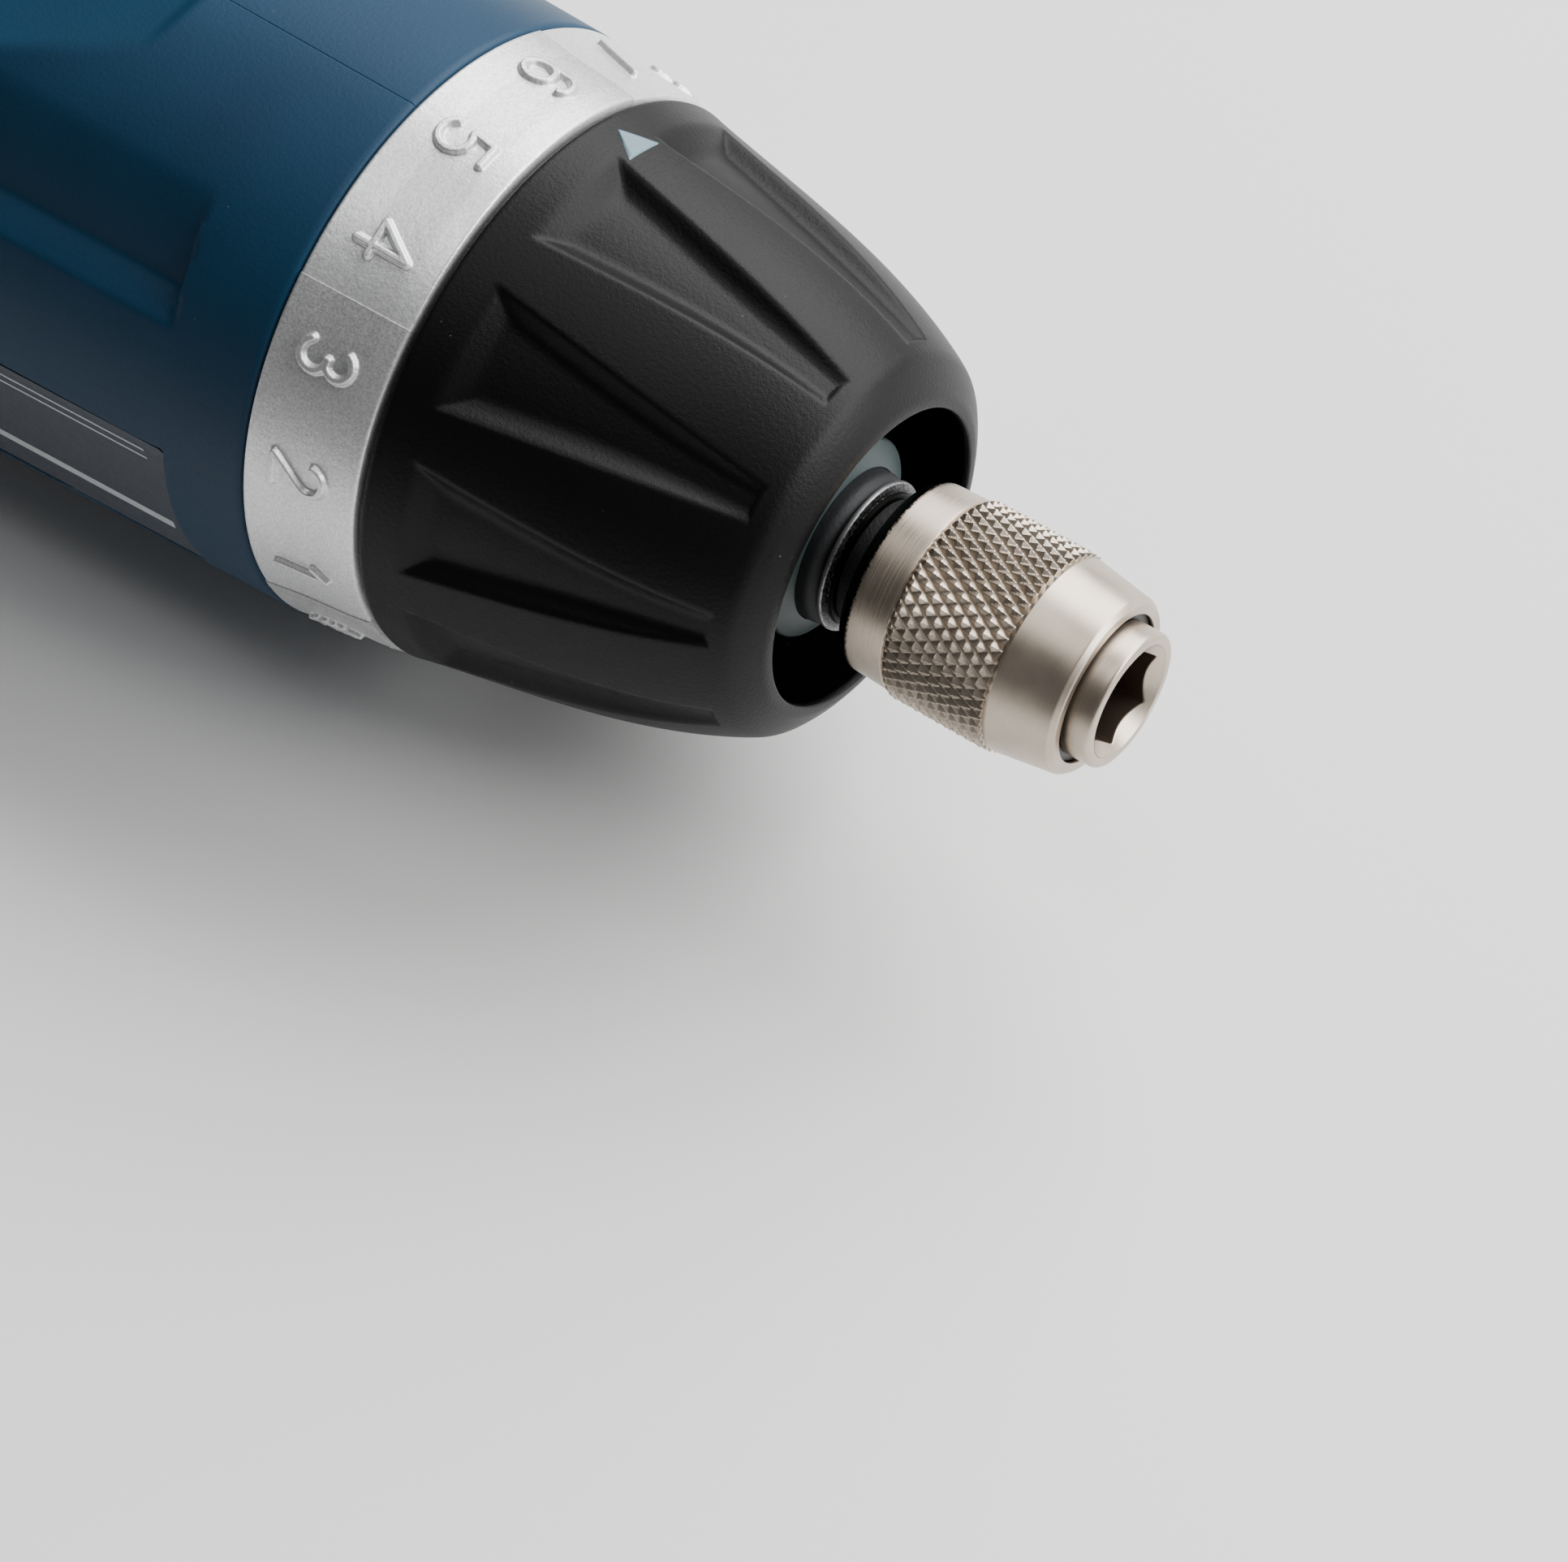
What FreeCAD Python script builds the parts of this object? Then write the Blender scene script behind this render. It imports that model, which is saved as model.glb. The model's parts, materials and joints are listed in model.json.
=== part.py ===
"""An inline cordless screwdriver with a torque collar and a quick-change bit chuck.

The tool lies along X with its chuck towards +X and the seam of its casing on top (+Z). The origin is on the
drive axis, at the mouth of the bit socket. Places along the axis are measured from the front edge of the
casing, the datum, and are positive towards the chuck.
"""
import FreeCAD, Part
import math
import os
import Sketcher
from types import SimpleNamespace

Vector = FreeCAD.Vector
Rotation = FreeCAD.Rotation
Placement = FreeCAD.Placement

# Driving dimensions in millimetres, degrees or counts
SIZES = {
    # Casing
    "nose_reach": 56.1,
    "front_radius": 22.5,
    "barrel_radius": 24.2,
    "barrel_length": 42.0,
    "shoulder_end": 64.1,
    "shoulder_radius": 21.55,
    "shoulder_round": 70.0,
    "waist_start": 85.1,
    "waist_radius": 18.6,
    "waist_round": 76.0,
    "waist_end": 108.0,
    "casing_length": 146.0,
    "tail_radius": 20.6,
    "tail_round": 362.0,
    "casing_wall": 2.4,
    "rib_width": 2.0,
    "seat_clearance": 0.05,
    "belly_height": 23.0,
    "rest_front": 14.0,
    "rest_length": 40.0,
    "rest_width": 12.0,
    "rest_thickness": 1.0,
    "rest_proud": 0.4,
    # Side panels, plate recess and switch deck
    "panel_front": 7.6,
    "panel_length": 46.0,
    "panel_angle": 42.0,
    "panel_upper": 4.3,
    "panel_lower": 2.3,
    "panel_upper_slope": 0.5,
    "panel_lower_slope": 2.6,
    "panel_end_slope": 0.9,
    "panel_depth": 0.9,
    "panel_edge_height": 22.7,
    "panel_corner": 1.2,
    "plate_front": 6.6,
    "plate_length": 34.0,
    "plate_height": 13.6,
    "plate_angle": 94.8,
    "plate_thickness": 0.3,
    "plate_edge_height": 21.76,
    "plate_step": 0.35,
    "plate_margin": 0.15,
    "scoop_front": 17.3,
    "scoop_lip": 23.5,
    "scoop_step_length": 1.1,
    "scoop_start": 22.6,
    "deck_front": 34.0,
    "deck_rear": 78.0,
    "deck_height": 20.3,
    "deck_thickness": 1.8,
    # Grip pads and tail
    "grip_front": 74.0,
    "grip_rear": 136.0,
    "grip_upper": 11.0,
    "grip_lower": 13.0,
    "grip_inset": 1.3,
    "grip_proud": 0.5,
    "grip_corner": 7.0,
    "cap_length": 10.0,
    "cap_round": 5.5,
    "cap_wall": 2.6,
    "spigot_length": 1.5,
    "spigot_gap": 0.3,
    "jack_radius": 4.0,
    "jack_length": 9.0,
    "jack_hole_radius": 2.0,
    "jack_hole_depth": 7.0,
    "jack_pin_radius": 0.6,
    # Casing screws
    "screw_boss_radius": 2.7,
    "screw_radius": 1.2,
    "screw_reach": 8.0,
    "screw_seat": 9.0,
    "screw_head_radius": 2.2,
    "screw_head_height": 1.8,
    "screw_clearance": 0.2,
    "front_screw_at": 24.0,
    "front_screw_height": 17.2,
    "middle_screw_at": 66.0,
    "middle_screw_height": 15.9,
    "rear_screw_at": 141.5,
    "rear_screw_height": 9.0,
    # Switch
    "rocker_at": 50.0,
    "rocker_length": 26.0,
    "rocker_width": 11.0,
    "rocker_dip": 21.8,
    "rocker_crest": 23.4,
    "rocker_underside": 17.9,
    "rocker_gap": 0.5,
    "rocker_pin_height": 19.4,
    "rocker_pin_radius": 1.0,
    "rocker_pin_length": 16.0,
    "board_front": 30.0,
    "board_length": 41.5,
    "board_width": 16.0,
    "board_thickness": 1.2,
    "board_height": 14.2,
    "push_offset": 9.0,
    "push_size": 6.0,
    "push_height": 1.5,
    "push_button_radius": 1.7,
    "push_button_height": 0.3,
    "light_at": 69.5,
    "light_radius": 1.6,
    "light_proud": 0.3,
    # Battery
    "cell_front": 70.0,
    "cell_length": 65.0,
    "cell_radius": 9.2,
    "cell_button_radius": 3.0,
    "cell_button_height": 0.8,
    "tab_width": 7.0,
    "tab_thickness": 0.25,
    "tab_reach": 10.5,
    "lead_radius": 0.8,
    "lead_bend": 2.0,
    "lead_straight": 0.3,
    # Motor
    "motor_front": 19.5,
    "motor_length": 37.8,
    "motor_radius": 13.85,
    "motor_wall": 1.2,
    "motor_boss_radius": 5.0,
    "motor_boss_length": 1.8,
    "motor_bush_radius": 3.0,
    "motor_bush_length": 3.8,
    "motor_cap_thickness": 3.2,
    "motor_cap_inset": 1.3,
    "motor_cap_boss": 2.1,
    "shaft_radius": 1.15,
    "shaft_clearance": 0.03,
    "shaft_tail": 1.0,
    "core_front": 27.0,
    "core_length": 20.0,
    "core_radius": 10.2,
    "core_pocket_radius": 3.3,
    "core_pocket_at": 6.8,
    "core_slot": 1.8,
    "winding_overhang": 2.5,
    "winding_inner": 2.2,
    "winding_outer": 9.0,
    "winding_play": 0.1,
    "magnet_thickness": 2.0,
    "magnet_length": 26.0,
    "magnet_angle": 130.0,
    "commutator_radius": 3.6,
    "commutator_length": 4.5,
    "brush_width": 2.4,
    "brush_length": 1.7,
    "brush_gap": 0.08,
    "brush_arm": 0.4,
    "terminal_spread": 7.0,
    "terminal_length": 5.5,
    "terminal_width": 3.0,
    "terminal_thickness": 0.5,
    "motor_screw_spread": 8.0,
    "motor_screw_radius": 1.2,
    "motor_screw_head": 2.1,
    "motor_screw_head_height": 1.2,
    # Planetary gears: both stages have the same teeth
    "gear_module": 0.5,
    "sun_teeth": 12,
    "planet_teeth": 21,
    "gear_backlash": 0.05,
    "pin_radius": 1.5,
    "pin_clearance": 0.05,
    "ring_gear_radius": 16.5,
    "gear_gap": 0.4,
    "first_planet_length": 5.6,
    "second_planet_length": 6.2,
    "carrier_thickness": 2.0,
    "carrier_radius": 11.0,
    # Gear case and clutch
    "plate_wall": 2.0,
    "case_radius": 18.4,
    "case_bore": 16.55,
    "case_wall_front": 5.0,
    "case_wall": 2.4,
    "case_step": 8.4,
    "case_rim_end": 12.0,
    "case_rim_radius": 17.6,
    "case_rim_bore": 16.4,
    "thread_radius": 9.8,
    "thread_end": 24.0,
    "nose_radius": 7.4,
    "nose_end": 32.6,
    "bush_length": 12.6,
    "bush_radius": 5.6,
    "bush_proud": 0.9,
    "bush_tip": 1.35,
    "bush_tip_radius": 5.2,
    "spindle_radius": 4.5,
    "spindle_clearance": 0.05,
    "hub_step": 1.0,
    "ball_count": 6,
    "ball_radius": 1.6,
    "ball_circle": 14.7,
    "ball_clearance": 0.05,
    "washer_thickness": 1.2,
    "washer_play": 0.2,
    "spring_wire": 1.5,
    "spring_radius": 13.0,
    "spring_turns": 3.5,
    "spring_seat": 0.05,
    "nut_rear": 15.2,
    "nut_length": 4.5,
    "nut_radius": 15.6,
    "nut_clearance": 0.06,
    "key_count": 6,
    "key_width": 2.4,
    "key_radius": 14.6,
    "key_clearance": 0.12,
    "clip_thickness": 1.0,
    "clip_radius": 9.0,
    "clip_groove": 0.4,
    # Number ring and collar
    "ring_gap": 0.15,
    "ring_end": 8.6,
    "ring_front_radius": 21.25,
    "ring_wall": 1.9,
    "ring_web": 2.2,
    "collar_start": 8.8,
    "collar_rear_round": 0.6,
    "collar_rear_radius": 21.1,
    "collar_shoulder_at": 13.0,
    "collar_shoulder_radius": 20.33,
    "collar_shoulder_round": 12.0,
    "collar_lip_at": 33.6,
    "collar_lip_radius": 14.55,
    "collar_round": 77.0,
    "collar_end": 36.0,
    "collar_lip_round": 2.6,
    "collar_face_radius": 12.2,
    "collar_opening_radius": 11.2,
    "collar_opening_depth": 1.0,
    "collar_chamber_radius": 17.2,
    "collar_chamber_middle_at": 22.8,
    "collar_chamber_middle": 16.0,
    "collar_chamber_front_at": 31.5,
    "collar_chamber_front": 12.4,
    "collar_web_front": 26.0,
    "collar_web": 1.5,
    "collar_clearance": 0.06,
    "settings": 16,
    "notch_radius": 0.8,
    "notch_depth": 0.5,
    "click_thickness": 0.4,
    "click_span": 40.0,
    "click_play": 0.1,
    "click_gap": 0.06,
    "flute_count": 10,
    "flute_land_angle": -21.6,
    "flute_rear": 11.4,
    "flute_floor_start": 13.4,
    "flute_floor_radius": 19.1,
    "flute_end": 33.4,
    "flute_end_radius": 14.62,
    "flute_half_width": 2.9,
    "flute_end_half_width": 0.7,
    "flute_side_slope": 0.9,
    "pointer_tip": 10.4,
    "pointer_length": 2.5,
    "pointer_half_width": 1.55,
    "pointer_depth": 0.8,
    # Chuck
    "retainer_at": 34.9,
    "retainer_thickness": 0.9,
    "retainer_radius": 5.55,
    "retainer_chamfer": 0.3,
    "retainer_groove": 0.3,
    "body_rear": 38.3,
    "body_flange": 2.0,
    "body_flange_radius": 6.1,
    "body_radius": 4.9,
    "body_edge": 0.3,
    "tip_radius": 3.0,
    "tip_length": 3.7,
    "magnet_height": 2.0,
    "fit_clearance": 0.02,
    "socket_flats": 6.45,
    "socket_angle": 36.8,
    "socket_mouth_radius": 4.1,
    "socket_mouth_depth": 0.9,
    "ball_at": 50.0,
    "bit_ball_radius": 1.2,
    "sleeve_rear": 37.5,
    "sleeve_rear_radius": 6.4,
    "sleeve_chamfer": 0.8,
    "sleeve_band_radius": 6.95,
    "sleeve_band_end": 41.3,
    "sleeve_knurl_end": 49.3,
    "sleeve_knurl_radius": 7.35,
    "sleeve_step": 0.25,
    "sleeve_front_radius": 7.1,
    "sleeve_taper_end": 53.95,
    "sleeve_taper_radius": 6.45,
    "sleeve_front": 54.3,
    "sleeve_front_edge": 6.15,
    "sleeve_clearance": 0.05,
    "sleeve_step_at": 47.5,
    "sleeve_stop": 1.1,
    "sleeve_stop_radius": 5.6,
    "snap_thickness": 0.7,
    "snap_groove": 0.3,
    "snap_play": 0.05,
    "snap_proud": 0.5,
    "chuck_wire": 0.7,
    "chuck_spring_turns": 5.0,
}

PRESSURE_ANGLE = math.radians(25)
ADDENDUM = 0.85
DEDENDUM = 1.1
PLANETS = 3

doc = FreeCAD.newDocument("screwdriver")
sheet = doc.addObject("Spreadsheet::Sheet", "Sizes")
for row, (name, number) in enumerate(SIZES.items(), start=1):
    sheet.set(f"A{row}", name)
    sheet.set(f"B{row}", str(number))
    sheet.setAlias(f"B{row}", name)
doc.recompute()


class Size:
    """A number that keeps the sheet expression it came from, so that features can be bound to it."""

    def __init__(self, text, value):
        self.text = text
        self.value = value

    def __add__(self, other):
        other = as_size(other)
        return Size(f"({self.text} + {other.text})", self.value + other.value)

    def __sub__(self, other):
        other = as_size(other)
        return Size(f"({self.text} - {other.text})", self.value - other.value)

    def __mul__(self, other):
        other = as_size(other)
        return Size(f"({self.text} * {other.text})", self.value * other.value)

    def __truediv__(self, other):
        other = as_size(other)
        return Size(f"({self.text} / {other.text})", self.value / other.value)

    def __radd__(self, other):
        return as_size(other) + self

    def __rsub__(self, other):
        return as_size(other) - self

    def __rmul__(self, other):
        return as_size(other) * self

    def __neg__(self):
        return Size(f"(-1 * {self.text})", -self.value)


def as_size(number):
    """A plain number or a Size, always given back as a Size."""
    if isinstance(number, Size):
        return number
    return Size(f"({float(number)!r})", float(number))


size = SimpleNamespace(**{name: Size(f"Sizes.{name}", float(sheet.get(name))) for name in SIZES})
nodes = {}


def axial(place):
    """The X coordinate of a place measured from the casing's front edge, positive towards the chuck."""
    return as_size(place) - size.nose_reach


def node(label, thing):
    """Registers an object as a sub-part under its own name."""
    thing.Label = label
    nodes[label] = thing
    return thing


def move_to(thing, x=0.0, y=0.0, z=0.0, turn=None):
    """Places an object, with its coordinates bound to the sheet."""
    x, y, z = as_size(x), as_size(y), as_size(z)
    thing.Placement = Placement(Vector(x.value, y.value, z.value), turn or Rotation())
    for part, amount in (("x", x), ("y", y), ("z", z)):
        thing.setExpression(f"Placement.Base.{part}", amount.text)
    return thing


def set_sizes(thing, **amounts):
    """Binds properties of a primitive to the sheet."""
    for name, amount in amounts.items():
        amount = as_size(amount)
        setattr(thing, name, amount.value)
        thing.setExpression(name, amount.text)
    return thing


ALONG = {
    "x": Rotation(Vector(0, 1, 0), 90),
    "y": Rotation(Vector(1, 0, 0), -90),
    "z": Rotation(),
}


def rod(name, radius, length, x=0.0, y=0.0, z=0.0, along="x"):
    """A round rod that starts at a point and runs along an axis."""
    made = set_sizes(doc.addObject("Part::Cylinder", name), Radius=radius, Height=length)
    return move_to(made, x, y, z, ALONG[along])


def ball(name, radius, x, y=0.0, z=0.0):
    return move_to(set_sizes(doc.addObject("Part::Sphere", name), Radius=radius), x, y, z)


def block(name, low, high):
    """A box between two corners."""
    low = [as_size(amount) for amount in low]
    high = [as_size(amount) for amount in high]
    made = doc.addObject("Part::Box", name)
    set_sizes(made, Length=high[0] - low[0], Width=high[1] - low[1], Height=high[2] - low[2])
    return move_to(made, *low)


def cut(name, base, *tools):
    tool = tools[0] if len(tools) == 1 else fuse(name + "_tools", *tools)
    made = doc.addObject("Part::Cut", name)
    made.Base, made.Tool = base, tool
    return made


def fuse(name, *pieces):
    made = doc.addObject("Part::MultiFuse", name)
    made.Shapes = list(pieces)
    return made


def common(name, *pieces):
    made = doc.addObject("Part::MultiCommon", name)
    made.Shapes = list(pieces)
    return made


def group(name, *pieces):
    """Separate solids that share one node."""
    made = doc.addObject("Part::Compound", name)
    made.Links = list(pieces)
    return made


def made_of(name, shape):
    """A piece whose form is worked out point by point."""
    made = doc.addObject("Part::Feature", name)
    made.Shape = shape
    return made


def round_about(count, start=0.0):
    """Angles of equally spaced copies round the drive axis."""
    return [start + 360.0 * index / count for index in range(count)]


def around(radius, degrees):
    """The Y and Z of a point on a circle round the drive axis, at an angle from +Z towards -Y."""
    radius = as_size(radius)
    turn = math.radians(degrees)
    return radius * -math.sin(turn), radius * math.cos(turn)


def draw(body, name, points, role):
    """A closed outline in one of a body's planes; a third entry is the radius of the arc to that point.

    A positive radius bulges to the left of the way of travel, a negative one to the right.
    """
    sketch = body.newObject("Sketcher::SketchObject", name)
    plane = next(feature for feature in body.Origin.OriginFeatures if feature.Role == role)
    sketch.AttachmentSupport = [(plane, "")]
    sketch.MapMode = "FlatFace"
    corners = [(as_size(point[0]), as_size(point[1])) for point in points]
    ends = []
    for index, point in enumerate(points):
        start = Vector(corners[index - 1][0].value, corners[index - 1][1].value, 0)
        stop = Vector(corners[index][0].value, corners[index][1].value, 0)
        if len(point) < 3:
            ends.append((sketch.addGeometry(Part.LineSegment(start, stop), False), 1, 2))
            continue
        arc_radius = as_size(point[2])
        chord = stop - start
        rise = math.sqrt(max(arc_radius.value ** 2 - chord.Length ** 2 / 4, 0.0))
        left = Vector(-chord.y, chord.x, 0).normalize()
        bulge = 1 if arc_radius.value > 0 else -1
        centre = (start + stop) / 2 - left * bulge * rise
        circle = Part.Circle(centre, Vector(0, 0, 1), abs(arc_radius.value))
        first, last = (stop, start) if bulge > 0 else (start, stop)
        arc = Part.ArcOfCircle(circle, circle.parameter(first), circle.parameter(last))
        edge = sketch.addGeometry(arc, False)
        ends.append((edge, 2, 1) if bulge > 0 else (edge, 1, 2))
        amount = arc_radius if bulge > 0 else -arc_radius
        bound = sketch.addConstraint(Sketcher.Constraint("Radius", edge, amount.value))
        sketch.setExpression(f"Constraints[{bound}]", amount.text)
    for index, (edge, first, last) in enumerate(ends):
        after = ends[(index + 1) % len(ends)]
        sketch.addConstraint(Sketcher.Constraint("Coincident", edge, last, after[0], after[1]))
        across, along = corners[index]
        for kind, amount, axis in (("DistanceX", across, -2), ("DistanceY", along, -1)):
            if amount.value == 0.0:
                sketch.addConstraint(Sketcher.Constraint("PointOnObject", edge, last, axis))
                continue
            bound = sketch.addConstraint(Sketcher.Constraint(kind, -1, 1, edge, last, amount.value))
            sketch.setExpression(f"Constraints[{bound}]", amount.text)
    return sketch


def turned(name, points):
    """A piece turned round the drive axis from an outline of (place, radius) points."""
    body = doc.addObject("PartDesign::Body", name)
    profile = draw(body, name + "_profile", [(axial(point[0]), *point[1:]) for point in points], "XY_Plane")
    turn = body.newObject("PartDesign::Revolution", name + "_turn")
    turn.Profile = profile
    turn.ReferenceAxis = (profile, ["H_Axis"])
    turn.Angle = 360
    return body


def tube(name, rear, front, inner, outer):
    """A plain ring or disc."""
    return turned(name, [(rear, inner), (front, inner), (front, outer), (rear, outer)])


def side_plate(name, points, width):
    """A plate with an outline seen from the side, as (place, height) points, centred on the seam plane."""
    body = doc.addObject("PartDesign::Body", name)
    profile = draw(body, name + "_profile", [(axial(point[0]), *point[1:]) for point in points], "XZ_Plane")
    pad = body.newObject("PartDesign::Pad", name + "_pad")
    pad.Profile = profile
    pad.SideType = "Symmetric"
    set_sizes(pad, Length=width)
    return body


# Involute gears

def polar(radius, angle):
    """A point at an angle from +Z towards -Y, in a plane square to the drive axis."""
    return Vector(0, -radius * math.sin(angle), radius * math.cos(angle))


def involute(angle):
    return math.tan(angle) - angle


def gear_face(teeth, inside, backlash):
    """A gear's face with a tooth on top, or a ring gear's opening with a space on top."""
    module = size.gear_module.value
    pitch = module * teeth / 2
    base = pitch * math.cos(PRESSURE_ANGLE)
    outer = pitch + module * (DEDENDUM if inside else ADDENDUM)
    inner = pitch - module * (ADDENDUM if inside else DEDENDUM)
    slack = backlash if inside else -backlash
    half_at_pitch = math.pi / (2 * teeth) + slack / (2 * pitch)

    def half_angle(radius):
        pressure = math.acos(min(base / radius, 1.0))
        return half_at_pitch + involute(PRESSURE_ANGLE) - involute(pressure)

    flank_start = max(inner, base)
    flank_middle = (flank_start + outer) / 2
    edges = []
    step = 2 * math.pi / teeth
    for tooth in range(teeth):
        centre = tooth * step
        flank = [(radius, half_angle(radius)) for radius in (flank_start, flank_middle, outer)]
        rise = [polar(radius, centre - half) for radius, half in flank]
        fall = [polar(radius, centre + half) for radius, half in flank]
        root_low = polar(inner, centre - flank[0][1])
        root_high = polar(inner, centre + flank[0][1])
        if inner < flank_start:
            edges.append(Part.LineSegment(root_low, rise[0]).toShape())
        edges.append(Part.Arc(rise[0], rise[1], rise[2]).toShape())
        edges.append(Part.Arc(rise[2], polar(outer, centre), fall[2]).toShape())
        edges.append(Part.Arc(fall[2], fall[1], fall[0]).toShape())
        if inner < flank_start:
            edges.append(Part.LineSegment(fall[0], root_high).toShape())
        next_root = polar(inner, centre + step - flank[0][1])
        edges.append(Part.Arc(root_high, polar(inner, centre + step / 2), next_root).toShape())
    return Part.Face(Part.Wire(edges))


def gear_solid(teeth, rear, front, inside=False):
    """Gear teeth between two places on the axis."""
    rear, front = axial(rear).value, axial(front).value
    solid = gear_face(teeth, inside, size.gear_backlash.value).extrude(Vector(front - rear, 0, 0))
    solid.translate(Vector(rear, 0, 0))
    return solid


sun_teeth = int(size.sun_teeth.value)
planet_teeth = int(size.planet_teeth.value)
ring_teeth = sun_teeth + 2 * planet_teeth
planet_orbit = size.gear_module * (size.sun_teeth + size.planet_teeth) / 2


# Wound springs

def coil(rear, front, radius, wire, turns):
    """A coil spring between two places: quarter turns of a helix as arcs, swept by the round wire."""
    start, stop = axial(rear).value + wire / 2, axial(front).value - wire / 2
    quarters = int(round(turns * 4))

    def on_helix(fraction):
        angle = 2 * math.pi * turns * fraction
        spot = polar(radius, angle)
        return Vector(start + (stop - start) * fraction, spot.y, spot.z)

    edges = []
    for quarter in range(quarters):
        first, last = quarter / quarters, (quarter + 1) / quarters
        edges.append(Part.Arc(on_helix(first), on_helix((first + last) / 2), on_helix(last)).toShape())
    path = Part.Wire(edges)
    direction = edges[0].tangentAt(edges[0].FirstParameter)
    section = Part.Wire(Part.Circle(on_helix(0), direction, wire / 2).toShape())
    gap = (stop - start) / turns - wire
    return path.makePipeShell([section], True, False), gap


# Casing: one outline gives the outside, the inside and the grip pads

def barrel_outline(raised):
    """The outside of the casing, or a surface at a constant height over it."""
    raised = as_size(raised)
    return [
        (0.0, 0.0),
        (0.0, size.front_radius + raised),
        (-size.barrel_length, size.barrel_radius + raised),
        (-size.shoulder_end, size.shoulder_radius + raised, -size.shoulder_round),
        (-size.waist_start, size.waist_radius + raised, size.waist_round),
        (-size.waist_end, size.waist_radius + raised),
        (-size.casing_length, size.tail_radius + raised, size.tail_round),
        (-size.casing_length, 0.0),
    ]


# How far cutters stand out of what they cut: past the whole casing, or past one face
FAR = 40.0
OVERRUN = 1.0
barrel_slope = (size.barrel_radius - size.front_radius) / size.barrel_length
tilt = math.degrees(math.atan(barrel_slope.value))


def recess(name, side, angle, front, floor, height, box, flare, inset=0.0):
    """A recess cutter with a flat floor, set square to a direction round the barrel and along its taper.

    box is the floor's length, its reach towards the seam and away from it; flare is what the opening adds at
    the ends, towards the seam and away from it. An inset draws the same box smaller all round.
    """
    made = doc.addObject("Part::Wedge", name)
    length, upper, lower = (amount - inset for amount in box)
    end, flare_upper, flare_lower = (as_size(amount) for amount in flare)
    if side < 0:
        upper, lower, flare_upper, flare_lower = lower, upper, flare_lower, flare_upper
    floor, height = as_size(floor), as_size(height)
    set_sizes(made, Ymin=floor, Ymax=floor + height)
    set_sizes(made, Xmin=-length, Xmax=-as_size(inset), Zmin=-upper, Zmax=lower)
    set_sizes(made, X2min=-length - end, X2max=end - inset)
    set_sizes(made, Z2min=-upper - flare_upper, Z2max=lower + flare_lower)
    turn = Rotation(Vector(1, 0, 0), 90 + side * angle.value).multiply(Rotation(Vector(0, 0, 1), -tilt))
    return move_to(made, axial(-front), turn=turn)


def round_corners(name, thing, radius, along):
    """Rounds the edges of a cutter that run towards its opening."""
    doc.recompute()
    made = doc.addObject("Part::Fillet", name)
    made.Base = thing
    chosen = []
    for index, edge in enumerate(thing.Shape.Edges, start=1):
        run = edge.Vertexes[1].Point - edge.Vertexes[0].Point
        if abs(run.normalize().dot(along)) > math.cos(math.radians(75)):
            chosen.append((index, radius.value, radius.value))
    made.Edges = chosen
    return made


def outward(angle, side):
    """The direction away from the drive axis at an angle from the seam."""
    turn = math.radians(side * angle.value)
    return Vector(0, -math.sin(turn), math.cos(turn))


RIGHT, LEFT = 1, -1
barrel = turned("barrel_form", barrel_outline(0.0))
chamber = turned("barrel_chamber", barrel_outline(-size.casing_wall))
cradle_seats = [
    (size.motor_front * 0.1, size.case_radius),
    (size.motor_front * 0.77, size.case_radius),
    (size.motor_front + size.motor_length * 0.38, size.motor_radius),
    (size.motor_front + size.motor_length * 0.86, size.motor_radius),
    (size.cell_front + size.cell_length * 0.1, size.cell_radius),
    (size.cell_front + size.cell_length * 0.5, size.cell_radius),
    (size.cell_front + size.cell_length * 0.9, size.cell_radius),
]
cradles = [tube(f"cradle_{index}", -place - size.rib_width / 2, -place + size.rib_width / 2,
                seat + size.seat_clearance, FAR)
           for index, (place, seat) in enumerate(cradle_seats)]
board_bay = block("board_bay", (axial(-size.board_front - size.board_length - size.rocker_gap),
                                -size.board_width / 2 - size.rocker_gap, size.board_height),
                  (axial(-size.board_front + size.rocker_gap), size.board_width / 2 + size.rocker_gap, FAR))
lead_channel = block("lead_channel",
                     (axial(-size.casing_length), -2 * size.lead_radius, size.cell_radius - size.lead_radius),
                     (axial(-size.cell_front), 2 * size.lead_radius,
                      size.board_height + 3 * size.lead_radius))
ribs = cut("ribs", fuse("cradles", *cradles), board_bay, lead_channel)
deck = block("deck", (axial(-size.deck_rear), -FAR, size.deck_height - size.deck_thickness),
             (axial(-size.scoop_front + size.deck_thickness), FAR, FAR))
screw_spots = [
    (size.front_screw_at, -size.front_screw_height),
    (size.front_screw_at, size.front_screw_height),
    (size.middle_screw_at, -size.middle_screw_height),
    (size.rear_screw_at, size.rear_screw_height),
    (size.rear_screw_at, -size.rear_screw_height),
]
bosses = [rod(f"screw_boss_{index}", size.screw_boss_radius, 2 * FAR, axial(-place), -FAR, height, "y")
          for index, (place, height) in enumerate(screw_spots)]
inner_walls = common("inner_walls", fuse("inner_forms", ribs, deck, *bosses), barrel)
belly_rest = block("belly_rest",
                   (axial(-size.rest_front - size.rest_length), -size.rest_width / 2, -size.belly_height),
                   (axial(-size.rest_front), size.rest_width / 2, -size.belly_height + size.rest_thickness))
shell = fuse("shell", cut("shell_wall", barrel, chamber), inner_walls)

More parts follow.
